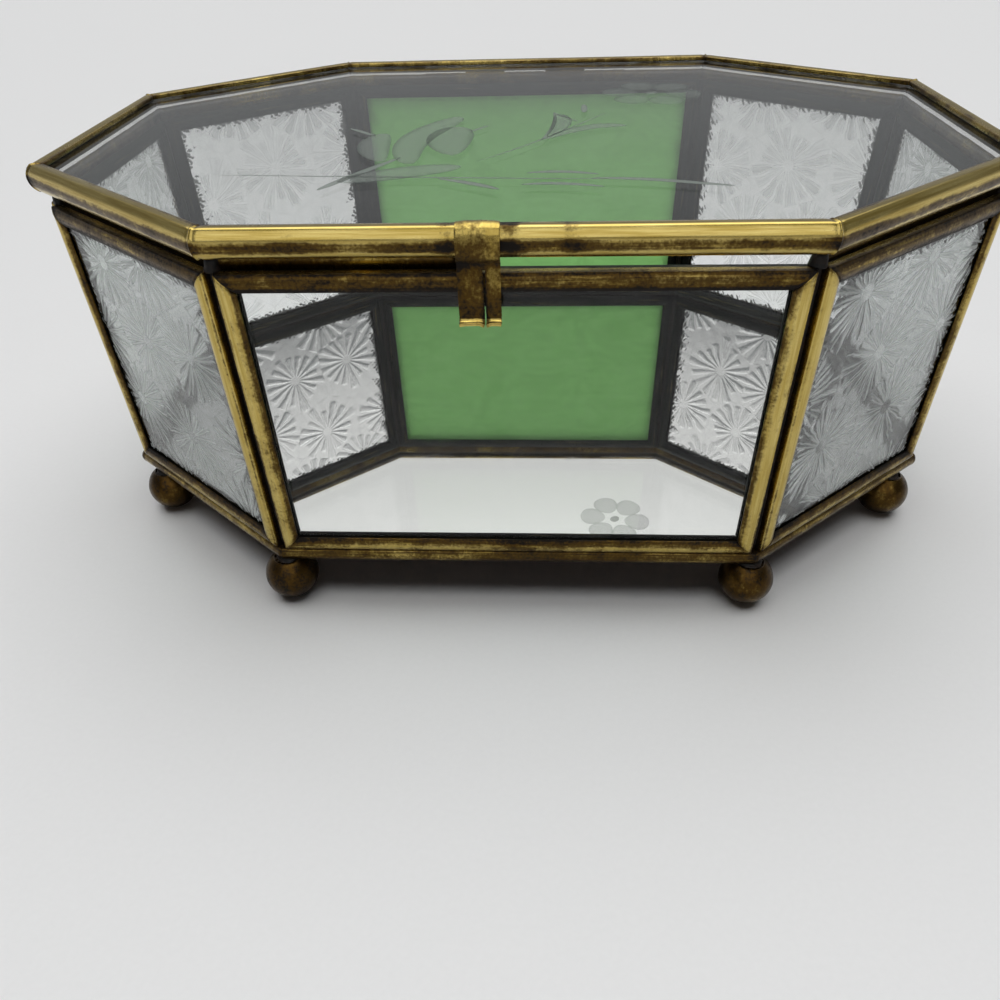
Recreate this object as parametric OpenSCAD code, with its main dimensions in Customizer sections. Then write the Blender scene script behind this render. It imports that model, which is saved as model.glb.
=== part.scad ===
// Octagonal glass casket: eight glass walls and a hinged glass lid, each pane
// in its own channel of folded brass, on a mirror base with ball feet.
// +Z is up, the front faces -Y and the long axis lies along X.
// The origin is the middle of the footprint, on the surface the feet stand on.

/* [Body] */
// Length over the base frame
body_len = 206; // [170:1:250]
// Depth over the base frame, front to back
body_dep = 140.4; // [120:0.2:180]
// Width of the front and rear faces at the base frame
front_w = 109; // [85:1:135]
// Width of the two end faces at the base frame
end_w = 63.4; // [48:0.2:84]
// Height of a wall panel with its channel
wall_h = 66.5; // [40:0.5:100]
// Distance of the wall faces behind the base frame's face
wall_inset = 0.3; // [0.1:0.1:1]

/* [Glass] */
// Thickness of a wall pane
pane_t = 2; // [1.5:0.1:3]
// Thickness of the lid pane
lid_glass_t = 3; // [2:0.1:4]
// Thickness of the base mirror
mirror_t = 2; // [1.5:0.1:3]
// Gap between a pane and each side of its channel
seat_gap = 0.1; // [0.05:0.01:0.2]
// Gap between a pane's edge and the bottom of its channel
edge_gap = 0.2; // [0.1:0.05:0.5]

/* [Channels] */
// Width of a channel's legs over the glass
leg_w = 3.6; // [3:0.1:5]
// Thickness of the web that closes a channel round the glass edge
web_t = 1; // [0.8:0.1:1.6]
// Thickness of a wall channel's legs
wall_leg_t = 0.7; // [0.5:0.05:1.2]
// Thickness of the lid channel's legs
lid_leg_t = 1.2; // [0.8:0.05:1.6]
// Thickness of the base channel's legs
base_leg_t = 0.4; // [0.3:0.05:0.8]
// Radius of the bulge across a wall channel's legs
leg_bulge_r = 5; // [4:0.25:9]
// Radius of the bulge across the lid channel's web
lid_bulge_r = 3.6; // [3.4:0.1:6]
// Radius of the bulge across the base channel's web
base_bulge_r = 2.2; // [2:0.1:4]

/* [Lid] */
// Distance the lid channel stands out beyond the base frame
lid_over = 1.1; // [0.6:0.1:2]
// Gap between the walls and the closed lid
lid_gap = 2.9; // [2.4:0.1:4]

/* [Solder] */
// Gap between neighbouring wall channels at their inner edges
corner_gap = 0.2; // [0.1:0.05:0.4]
// Depth of the solder seams behind the wall faces
seam_recess = 0.8; // [0.5:0.1:1.2]
// Diameter of the solder rests under the lid, at the foot
rest_d = 3.4; // [2.4:0.1:4]
// Diameter of the solder rests at the top
rest_top_d = 2.4; // [1.6:0.1:3]
// Gap between the closed lid and its rests
rest_gap = 0.3; // [0.3:0.05:0.6]
// Diameter of the solder collar on top of a foot
collar_d = 5.6; // [5:0.1:6]
// Height of the solder collar
collar_h = 0.5; // [0.4:0.05:0.8]

/* [Hinge] */
// Outer diameter of a knuckle
knuckle_d = 2.2; // [2:0.05:2.4]
// Diameter of the hinge pin
pin_d = 1; // [0.8:0.05:1.2]
// Radial running clearance of the pin
pin_gap = 0.05; // [0.02:0.01:0.1]
// Number of knuckles, odd so that the box holds both ends
knuckles = 5; // [3:2:7]
// Length of one knuckle
knuckle_len = 12; // [8:0.5:13]
// Gap between neighbouring knuckles
knuckle_gap = 0.2; // [0.1:0.05:0.4]
// Width of the foot that joins a knuckle to its channel
knuckle_foot_w = 1.4; // [1:0.1:1.6]
// Distance of the hinge axis in front of the rear wall's face
hinge_back = 1; // [0.9:0.1:1.4]
// Diameter of the peened heads on the pin
head_d = 1.8; // [1.4:0.1:2]
// Length of each peened head
head_len = 0.6; // [0.4:0.1:1]

/* [Clasp] */
// Width of the clasp strip
clasp_w = 7.4; // [6:0.1:10]
// Thickness of the clasp strip
clasp_t = 0.9; // [0.7:0.05:1.2]
// Distance of the clasp to the left of the lid's middle
clasp_left = 5.2; // [0:0.1:20]
// Reach of the tongue below the top of the front wall
clasp_drop = 8.8; // [6:0.1:12]
// Gap between the tongue and the front wall's face
clasp_gap = 0.3; // [0.2:0.05:0.4]
// Radius of the bend over the lid's edge
bend_r = 1.4; // [1:0.1:2]
// Inner radius of the curl at the tongue's end
curl_r = 0.8; // [0.5:0.1:1.5]
// Width of the slot in the tongue
clasp_slot_w = 1; // [0.5:0.05:1.2]
// Distance of the slot to the right of the clasp's middle
clasp_slot_right = 0.9; // [0:0.1:2]

/* [Feet] */
// Diameter of a ball foot
foot_d = 12.4; // [9:0.1:16]
// Diameter of the flat under a ball foot
foot_flat_d = 4.4; // [3:0.1:5]
// Distance of each foot behind the base frame's faces
foot_in = 2.4; // [2.2:0.1:5]
// Distance of a side foot from the nearest end corner, along the slanting face
side_foot_shift = 6.6; // [4:0.1:16]

/* [Hidden] */
FACES = ["front", "front_right", "right", "rear_right", "rear", "rear_left", "left", "front_left"];
CORNERS = len(FACES);
$fn = 64;

// Cutting shapes run past what they cut by this much
over = 1;
// Farther than any point of the casket from any other
reach = body_len + body_dep;

// Thickness of each channel across its glass
base_h = mirror_t + 2 * (seat_gap + base_leg_t);
wall_t = pane_t + 2 * (seat_gap + wall_leg_t);
lid_h = lid_glass_t + 2 * (seat_gap + lid_leg_t);

// Levels
// The base frame lies as high above a ball's middle as the flat lies below it
base_z = sqrt(foot_d * foot_d - foot_flat_d * foot_flat_d);
wall_z = base_z + base_h;
wall_top = wall_z + wall_h;
lid_z = wall_top + lid_gap;
hinge_z = wall_top + lid_gap / 2;

// Distance of a pane's edge inside its channel's outline
pane_in = web_t + edge_gap;
// How far the bulge of a wall channel's leg falls back at its edges
leg_sag = leg_bulge_r - sqrt(leg_bulge_r * leg_bulge_r - leg_w * leg_w / 4);
hinge_y = body_dep / 2 - wall_inset - hinge_back;
hinge_len = knuckles * knuckle_len + (knuckles - 1) * knuckle_gap;

// Corners of the base frame, anticlockwise from the front left one
outline = let (a = front_w / 2, b = end_w / 2, l = body_len / 2, d = body_dep / 2)
    [[-a, -d], [a, -d], [l, -b], [l, b], [a, d], [-a, d], [-l, b], [-l, -b]];

brass = [0.72, 0.58, 0.28];
dull_brass = [0.55, 0.44, 0.2];
solder = [0.22, 0.21, 0.2];
clear_glass = [0.86, 0.9, 0.9, 0.3];
green_glass = [0.4, 0.6, 0.35, 0.5];
mirror_grey = [0.8, 0.82, 0.82];

// Direction along face i, the way it looks out, and its heading
function ahead(i) = let (d = outline[(i + 1) % CORNERS] - outline[i % CORNERS]) d / norm(d);
function outward(i) = [ahead(i)[1], -ahead(i)[0]];
function heading(i) = atan2(ahead(i)[1], ahead(i)[0]);
function before(i) = (i + CORNERS - 1) % CORNERS;

// The outline with every face moved in by d, or out where d is negative
function octagon(d) = [
    for (i = [0 : CORNERS - 1])
        let (m = outward(before(i)), n = outward(i))
            outline[i] - d * (m + n) / (1 + m * n)
];

// Where the inner faces of two walls meet, and the width of a wall between them
function inner_corner(i) = octagon(wall_inset + wall_t)[i % CORNERS];
function wall_w(i) = norm(inner_corner(i + 1) - inner_corner(i)) - corner_gap;

// Sections: x runs in from the web's face, y across the glass.
// The legs of a wall channel bulge over its width
module leg_bulge() {
    intersection() {
        translate([leg_w / 2, wall_t / 2 - leg_bulge_r])
            circle(r = leg_bulge_r);
        translate([leg_w / 2, leg_bulge_r - wall_t / 2])
            circle(r = leg_bulge_r);
        translate([0, -wall_t / 2])
            square([leg_w, wall_t]);
    }
}

// Outer half of the bulge, then flat: the four edges of a wall share this
module wall_edge() {
    leg_bulge();
    translate([leg_w / 2, -wall_t / 2])
        square([reach, wall_t]);
}

// Opening of a wall, down the inner half of the bulge
module wall_opening() {
    difference() {
        translate([leg_w / 2, -wall_t])
            square([reach, 2 * wall_t]);
        leg_bulge();
    }
}

// The edge of the lid or the base has flat legs and a bulged web
module edge_outline(h, bulge_r) {
    intersection() {
        translate([0, -h / 2])
            square([reach, h]);
        union() {
            translate([bulge_r, 0])
                circle(r = bulge_r);
            translate([bulge_r, -h])
                square([reach, 2 * h]);
        }
    }
}

// What lies within a section run along all four edges of a rectangle
module within_edges(w, h) {
    edges = [[0, 0, 0], [w, 0, 90], [w, h, 180], [0, h, 270]];
    intersection_for(edge = edges)
        translate([edge[0], edge[1], 0])
            rotate(edge[2])
                rotate([90, 0, 90])
                    linear_extrude(2 * reach, center = true)
                        children();
}

// The wall channel folded round a rectangle, with mitred corners
module rectangular_channel(w, h) {
    slot_t = pane_t + 2 * seat_gap;
    difference() {
        within_edges(w, h)
            wall_edge();
        within_edges(w, h)
            wall_opening();
        translate([web_t, web_t, -slot_t / 2])
            cube([w - 2 * web_t, h - 2 * web_t, slot_t]);
    }
}

// An octagonal channel with its outline moved in by d: the edge run along every
// face and trimmed by its neighbours, less the middle and the slot for the glass
module octagonal_channel(d, h, bulge_r, glass_t) {
    difference() {
        intersection_for(i = [0 : CORNERS - 1])
            translate(octagon(d)[i])
                rotate(heading(i))
                    translate([-reach, 0, 0])
                        rotate([90, 0, 90])
                            linear_extrude(2 * reach)
                                edge_outline(h, bulge_r);
        translate([0, 0, -h])
            linear_extrude(2 * h)
                polygon(octagon(d + leg_w));
        translate([0, 0, -glass_t / 2 - seat_gap])
            linear_extrude(glass_t + 2 * seat_gap)
                polygon(octagon(d + web_t));
    }
}

// Puts x along wall i, y up it and z outwards, with z = 0 in the middle of its glass
module on_wall(i) {
    start = inner_corner(i) + ahead(i) * corner_gap / 2 + outward(i) * wall_t / 2;
    translate([start[0], start[1], wall_z])
        rotate([90, 0, heading(i)])
            children();
}

module wall_channel(i) {
    color(brass)
        on_wall(i)
            rectangular_channel(wall_w(i), wall_h);
}

module wall_pane(i) {
    color(FACES[i] == "rear" ? green_glass : clear_glass)
        on_wall(i)
            translate([pane_in, pane_in, -pane_t / 2])
                cube([wall_w(i) - 2 * pane_in, wall_h - 2 * pane_in, pane_t]);
}

module base_channel() {
    color(dull_brass)
        translate([0, 0, base_z + base_h / 2])
            octagonal_channel(0, base_h, base_bulge_r, mirror_t);
}

module base_mirror() {
    color(mirror_grey)
        translate([0, 0, base_z + base_leg_t + seat_gap])
            linear_extrude(mirror_t)
                polygon(octagon(pane_in));
}

module lid_channel() {
    color(brass)
        translate([0, 0, lid_z + lid_h / 2])
            octagonal_channel(-lid_over, lid_h, lid_bulge_r, lid_glass_t);
}

module lid_pane() {
    color(clear_glass)
        translate([0, 0, lid_z + lid_leg_t + seat_gap])
            linear_extrude(lid_glass_t)
                polygon(octagon(pane_in - lid_over));
}

// Solder between the ends of two walls. The lid rests on its head, except over
// the rear wall, where the hinge carries the lid.
module corner_seam(i) {
    p = inner_corner(i) - ahead(before(i)) * corner_gap / 2;
    q = inner_corner(i) + ahead(i) * corner_gap / 2;
    far = wall_t - seam_recess;
    section = [
        p + outward(before(i)) * leg_sag,
        p + outward(before(i)) * far,
        q + outward(i) * far,
        q + outward(i) * leg_sag
    ];
    middle = (section[0] + section[1] + section[2] + section[3]) / 4;
    color(solder) {
        translate([0, 0, wall_z])
            linear_extrude(wall_h)
                polygon(section);
        if (FACES[i] != "rear" && FACES[before(i)] != "rear")
            translate([middle[0], middle[1], wall_top])
                cylinder(d1 = rest_d, d2 = rest_top_d, h = lid_gap - rest_gap);
    }
}

// Feet stand at the front and rear corners, and on the slanting faces near the end corners
function foot_place(i) =
    let (
        corner = octagon(foot_in)[i],
        is_end = [for (face = [FACES[i], FACES[before(i)]]) if (face == "left" || face == "right") face],
        slanting = len(is_end) == 0 ? undef : is_end[0] == FACES[i] ? before(i) : i
    )
        slanting == undef ? corner : corner + ahead(slanting) * side_foot_shift * (slanting == i ? 1 : -1);

module on_foot(i) {
    translate([foot_place(i)[0], foot_place(i)[1], base_z / 2])
        children();
}

module foot(i) {
    color(dull_brass)
        on_foot(i)
            intersection() {
                sphere(d = foot_d);
                translate([0, 0, -base_z / 2])
                    cylinder(d = foot_d + over, h = base_z - collar_h);
            }
}

// Solder between each ball's upper flat and the base frame
module foot_collars() {
    color(solder)
        for (i = [0 : CORNERS - 1])
            on_foot(i)
                translate([0, 0, base_z / 2 - collar_h])
                    cylinder(d = collar_d, h = collar_h);
}

// Every other knuckle from the first one, with its foot on the side that side gives
module knuckle_row(first, side) {
    for (k = [first : 2 : knuckles - 1])
        translate([k * (knuckle_len + knuckle_gap) - hinge_len / 2, hinge_y, hinge_z])
            difference() {
                union() {
                    rotate([0, 90, 0])
                        cylinder(d = knuckle_d, h = knuckle_len);
                    translate([0, -knuckle_foot_w / 2, side > 0 ? 0 : -lid_gap / 2])
                        cube([knuckle_len, knuckle_foot_w, lid_gap / 2]);
                }
                translate([-over, 0, 0])
                    rotate([0, 90, 0])
                        cylinder(d = pin_d + 2 * pin_gap, h = knuckle_len + 2 * over);
            }
}

module box_knuckles() {
    color(brass)
        knuckle_row(0, -1);
}

module lid_knuckles() {
    color(brass)
        knuckle_row(1, 1);
}

module hinge_pin() {
    shank = hinge_len + knuckle_gap;
    color(brass)
        translate([0, hinge_y, hinge_z])
            rotate([0, 90, 0]) {
                cylinder(d = pin_d, h = shank, center = true);
                for (end = [-1, 1])
                    translate([0, 0, end * (shank + head_len) / 2])
                        cylinder(d = head_d, h = head_len, center = true);
            }
}

// Clasp section, in the lid channel's own coordinates
module clasp_cap() {
    top = lid_h / 2 + clasp_t;
    difference() {
        union() {
            translate([bend_r - clasp_t, top - bend_r])
                circle(r = bend_r);
            translate([bend_r - clasp_t, -lid_h / 2])
                square([leg_w + clasp_t - bend_r, top + lid_h / 2]);
            translate([-clasp_t, -lid_h / 2])
                square([leg_w + clasp_t, top + lid_h / 2 - bend_r]);
        }
        edge_outline(lid_h, lid_bulge_r);
    }
}

module clasp_tongue() {
    inner = lid_over + wall_inset - clasp_gap;
    end_r = curl_r + clasp_t;
    bottom = -lid_h / 2 - lid_gap - clasp_drop;
    translate([inner - clasp_t, bottom + end_r])
        square([clasp_t, -lid_h / 2 - bottom - end_r]);
    translate([inner - end_r, bottom + end_r])
        intersection() {
            difference() {
                circle(r = end_r);
                circle(r = curl_r);
            }
            translate([0, -end_r])
                square(end_r);
        }
}

module clasp() {
    slot_z = lid_z - lid_gap - clasp_drop;
    color(brass)
        difference() {
            translate([-clasp_left - clasp_w / 2, -body_dep / 2 - lid_over, lid_z + lid_h / 2])
                rotate([90, 0, 90])
                    linear_extrude(clasp_w) {
                        clasp_cap();
                        clasp_tongue();
                    }
            translate([
                clasp_slot_right - clasp_left - clasp_slot_w / 2,
                -body_dep / 2 - lid_over - curl_r - clasp_t,
                slot_z - over
            ])
                cube([clasp_slot_w, lid_over + wall_inset + curl_r + clasp_t, clasp_drop + over]);
        }
}

base_mirror();
base_channel();
for (i = [0 : CORNERS - 1]) {
    wall_pane(i);
    wall_channel(i);
    corner_seam(i);
    foot(i);
}
foot_collars();
box_knuckles();
hinge_pin();
lid_pane();
lid_channel();
lid_knuckles();
clasp();
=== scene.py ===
"""Dresses the octagonal glass casket: rolled brass channel, pressed glass, solder and a wheel-cut lid.

Every length is in metres in the casket's own frame: +X along its length, -Y towards the clasp, +Z up.
"""
import logging
import math
from dataclasses import dataclass, field
from enum import Enum
from typing import Sequence

import bpy
import numpy as np
from mathutils import Matrix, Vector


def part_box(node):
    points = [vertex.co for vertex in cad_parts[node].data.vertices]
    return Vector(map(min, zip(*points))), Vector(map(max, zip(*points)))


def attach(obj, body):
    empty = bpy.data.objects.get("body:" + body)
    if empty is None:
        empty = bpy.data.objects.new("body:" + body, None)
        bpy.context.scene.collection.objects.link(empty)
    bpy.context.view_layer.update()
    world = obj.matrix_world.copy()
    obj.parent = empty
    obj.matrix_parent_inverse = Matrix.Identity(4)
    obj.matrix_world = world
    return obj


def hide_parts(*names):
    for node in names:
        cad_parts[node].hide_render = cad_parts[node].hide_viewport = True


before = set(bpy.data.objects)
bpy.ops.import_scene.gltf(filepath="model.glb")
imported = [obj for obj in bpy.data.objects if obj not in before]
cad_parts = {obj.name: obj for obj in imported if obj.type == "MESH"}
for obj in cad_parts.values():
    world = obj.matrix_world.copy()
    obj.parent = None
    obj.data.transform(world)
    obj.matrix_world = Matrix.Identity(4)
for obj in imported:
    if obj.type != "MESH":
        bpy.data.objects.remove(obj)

log = logging.getLogger("casket")
MM = 0.001
TURN = 2 * math.pi
CORNERS = 8
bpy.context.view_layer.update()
FACES = ("front", "front_right", "right", "rear_right", "rear", "rear_left", "left", "front_left")
Array = np.ndarray
Colour = tuple[float, float, float]


class Body(Enum):
    """The two bodies that the hinge joins."""

    BOX = "box"
    LID = "lid"


class Slot(Enum):
    """The finishes that the parts list names, for the pieces made here."""

    BRASS = "brass"
    DULL_BRASS = "dull_brass"
    SOLDER = "solder"
    CLEAR = "clear_glass"
    PATTERN = "pattern_glass"
    GREEN = "green_glass"


# ---------------------------------------------------------------- shapes


def ripple(where: Array, seed: int, pitch: float, octaves: int = 3) -> Array:
    """Smooth waviness between about -1 and 1: a sum of plane waves at chosen pitches.

    Each octave adds two waves sin(k . p + phase) with a random direction, half the pitch
    and half the height of the one before.

    Args:
        where: Points, as an array (..., n).
        seed: Picks the directions and phases.
        pitch: Length of the longest wave.
        octaves: How many pitches are added up.

    Returns:
        One value for each point.
    """
    usual_peak = 2.6
    rng = np.random.default_rng(seed)
    total = np.zeros(where.shape[:-1])
    for octave in range(octaves):
        for _ in range(2):
            way = rng.normal(size=where.shape[-1])
            way *= TURN * 2**octave / (pitch * np.linalg.norm(way))
            total += np.sin(where @ way + rng.uniform(0, TURN)) / 2**octave
    return total / usual_peak


def ease(value: Array, low: float, high: float) -> Array:
    """Smooth step from 0 at low to 1 at high."""
    t = np.clip((value - low) / (high - low), 0, 1)
    return t * t * (3 - 2 * t)


def hump(value: Array, half: float) -> Array:
    """A bell curve: 1 at 0, and 1 / e at half."""
    return np.exp(-((value / half) ** 2))


def unit(rows: Array) -> Array:
    """The rows of an array scaled to length 1."""
    return rows / np.linalg.norm(rows, axis=1, keepdims=True)


def circle(count: int) -> Array:
    """Directions evenly round a turn, as an array (1, count, 2)."""
    t = np.arange(count) / count * TURN
    return np.stack([np.cos(t), np.sin(t)], 1)[None]


def raised(flat: Array, z: Array) -> Array:
    """Points flat x, y at heights z, as an array (rows, columns, 3)."""
    return np.concatenate([flat, np.broadcast_to(z, flat.shape[:2])[..., None]], 2)


def turned(radius: Array, z: Array, count: int, middle: Sequence[float] = (0, 0)) -> Array:
    """Rings of count points about the upright line through middle, one at each height."""
    return raised(circle(count) * np.reshape(radius, (len(z), -1, 1)) + middle, z[:, None])


def layered(*arrays: Array) -> Array:
    """Arrays of shapes that fit each other as the last axis of one array."""
    return np.stack(np.broadcast_arrays(*arrays), 2)


def grid_faces(rows: int, cols: int, wrap_rows: bool = False, wrap_cols: bool = False) -> Array:
    """Quads of a grid of points numbered row by row.

    Args:
        rows: Points along the first parameter.
        cols: Points along the second parameter.
        wrap_rows: Whether the last row joins the first.
        wrap_cols: Whether the last column joins the first.

    Returns:
        An array (n, 4) of point numbers.
    """
    r = np.arange(rows if wrap_rows else rows - 1)[:, None]
    c = np.arange(cols if wrap_cols else cols - 1)[None, :]
    r1, c1 = (r + 1) % rows, (c + 1) % cols
    quads = [r * cols + c, r * cols + c1, r1 * cols + c1, r1 * cols + c]
    return np.stack([q.ravel() for q in np.broadcast_arrays(*quads)], axis=1)


@dataclass
class Surface:
    """Points with the faces between them, and what a finish reads at each point."""

    points: Array
    faces: list[Array]
    marks: dict[str, Array] = field(default_factory=dict)
    uv: Array | None = None

    def volume(self) -> float:
        """Signed volume: positive where the faces point outwards."""
        total = 0.0
        for group in self.faces:
            first = self.points[group[:, 0]]
            for k in range(1, group.shape[1] - 1):
                b, c = self.points[group[:, k]], self.points[group[:, k + 1]]
                total += float(np.einsum("ij,ij->", first, np.cross(b, c))) / 6
        return total

    def outward(self) -> "Surface":
        """The same surface with its faces turned to point outwards."""
        if self.volume() < 0:
            self.faces = [group[:, ::-1] for group in self.faces]
        return self

    @staticmethod
    def joined(parts: Sequence["Surface"]) -> "Surface":
        """Several closed surfaces without UV as one."""
        shift = np.cumsum([0] + [len(p.points) for p in parts[:-1]])
        names = sorted({n for p in parts for n in p.marks})
        return Surface(
            np.concatenate([p.points for p in parts]),
            [group + s for p, s in zip(parts, shift) for group in p.faces],
            {n: np.concatenate([p.marks[n] for p in parts]) for n in names})


def capped_tube(rings: Array) -> Surface:
    """A closed skin over rings of points, each ring a loop, with a fan over both end rings.

    Args:
        rings: Points as an array (stations, around, 3).

    Returns:
        The closed surface, faces outwards. Its last two points are the fans' middles.
    """
    n, m = rings.shape[:2]
    ends = np.stack([rings[0].mean(0), rings[-1].mean(0)])
    k = np.arange(m)
    k1 = (k + 1) % m
    first = np.stack([np.full(m, n * m), k1, k], 1)
    last = np.stack([np.full(m, n * m + 1), (n - 1) * m + k, (n - 1) * m + k1], 1)
    faces = [grid_faces(n, m, wrap_cols=True), first, last]
    return Surface(np.concatenate([rings.reshape(-1, 3), ends]), faces).outward()


def put(name: str, surface: Surface, body: Body, finish: bpy.types.Material,
        stands_for: Sequence[str] = ()) -> bpy.types.Object:
    """Makes a piece of a surface, gives it its body and finish, and hides the CAD nodes that it stands for.

    Args:
        name: The piece's name.
        surface: Its points and faces.
        body: The body that it moves with.
        finish: Its material.
        stands_for: CAD nodes that it is shown instead of.

    Returns:
        The new object.
    """
    mesh = bpy.data.meshes.new(name)
    loops = np.concatenate([g.ravel() for g in surface.faces]).astype(np.int32)
    sizes = np.concatenate([np.full(len(g), g.shape[1]) for g in surface.faces])
    starts = np.concatenate([[0], np.cumsum(sizes)[:-1]]).astype(np.int32)
    mesh.vertices.add(len(surface.points))
    mesh.vertices.foreach_set("co", surface.points.astype(np.float32).ravel())
    mesh.loops.add(len(loops))
    mesh.loops.foreach_set("vertex_index", loops)
    mesh.polygons.add(len(sizes))
    mesh.polygons.foreach_set("loop_start", starts)
    mesh.polygons.foreach_set("use_smooth", np.ones(len(sizes), bool))
    mesh.update(calc_edges=True)
    for mark, values in surface.marks.items():
        layer = mesh.attributes.new(mark, "FLOAT", "POINT")
        layer.data.foreach_set("value", values.astype(np.float32).ravel())
    if surface.uv is not None:
        mesh.uv_layers.new(name="run").data.foreach_set("uv", surface.uv[loops].astype(np.float32).ravel())
    mesh.materials.append(finish)
    piece = bpy.data.objects.new(name, mesh)
    bpy.context.scene.collection.objects.link(piece)
    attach(piece, body.value)
    if stands_for:
        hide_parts(*stands_for)
    log.info("%s: %d points on %s", name, len(surface.points), body.value)
    return piece


def dress(node: str, finish: bpy.types.Material) -> None:
    """Gives a CAD node that keeps its own shape a finish."""
    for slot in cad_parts[node].material_slots:
        slot.material = finish
    log.info("%s keeps its shape, finish %s", node, finish.name)


# ---------------------------------------------------------------- the plan


def moved_in(corners: Array, inset: float) -> Array:
    """The corners of an anticlockwise polygon whose sides all move in by inset.

    A corner moves by inset * (m + n) / (1 + m . n), where m and n are the outward
    directions of the two sides that meet there.
    """
    side = unit(np.roll(corners, -1, 0) - corners)
    n = np.stack([side[:, 1], -side[:, 0]], 1)
    m = np.roll(n, 1, 0)
    return corners - inset * (m + n) / (1 + (m * n).sum(1, keepdims=True))


@dataclass(frozen=True)
class Plan:
    """The octagon that the walls, the lid and the base share, read off the mirror's corners."""

    mirror_in: float = 1.2 * MM
    close: float = 0.01 * MM

    def outline(self, inset: float = 0.0) -> Array:
        """The octagon's corners, anticlockwise from the front left, moved in by inset."""
        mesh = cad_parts["base_mirror"].data
        co = np.zeros(len(mesh.vertices) * 3)
        mesh.vertices.foreach_get("co", co)
        x, y = np.abs(co.reshape(-1, 3)[:, :2]).T
        length, depth = x.max(), y.max()
        front, end = x[y > depth - self.close].max(), y[x > length - self.close].max()
        corners = np.array([[-front, -depth], [front, -depth], [length, -end], [length, end],
                            [front, depth], [-front, depth], [-length, end], [-length, -end]])
        return moved_in(corners, inset - self.mirror_in)


@dataclass(frozen=True)
class Place:
    """Where a flat drawing lies: its origin and the three directions of its axes."""

    origin: Array
    across: Array
    up: Array
    out: Array

    @classmethod
    def level(cls, low: float, high: float) -> "Place":
        """A level drawing half way between two heights."""
        return cls(np.array([0, 0, (low + high) / 2]), *np.eye(3))

    def lay(self, flat: Array, depth: Array) -> Array:
        """Points at flat x, y in the drawing and depth outwards, in the casket's frame."""
        x, y = flat[..., :1], flat[..., 1:2]
        return self.origin + x * self.across + y * self.up + depth[..., None] * self.out


@dataclass(frozen=True)
class Wall:
    """One wall: its place, and its width and height between the channel's webs."""

    face: str
    place: Place
    width: float
    height: float


@dataclass(frozen=True)
class Walls:
    """The eight walls between the base and the lid."""

    plan: Plan
    inset: float = 0.3 * MM
    thick: float = 3.6 * MM
    corner_gap: float = 0.2 * MM

    def all(self) -> list[Wall]:
        """The walls in the order of FACES, with x along the wall, y up and z outwards."""
        inner = self.plan.outline(self.inset + self.thick)
        low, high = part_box("front_channel")
        found = []
        for i, face in enumerate(FACES):
            run = inner[(i + 1) % CORNERS] - inner[i]
            width = float(np.linalg.norm(run)) - self.corner_gap
            ahead = run / np.linalg.norm(run)
            out = np.array([ahead[1], -ahead[0], 0.0])
            start = inner[i] + ahead * self.corner_gap / 2 + out[:2] * self.thick / 2
            place = Place(np.array([*start, low.z]), np.array([*ahead, 0.0]), np.array([0.0, 0.0, 1.0]), out)
            found.append(Wall(face, place, width, high.z - low.z))
        return found


# ---------------------------------------------------------------- rolled channel


@dataclass(frozen=True)
class Stain:
    """A darker patch on one side of a channel, as far from both ends as at says."""

    side: int
    at: float
    half: float
    amount: float


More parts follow.
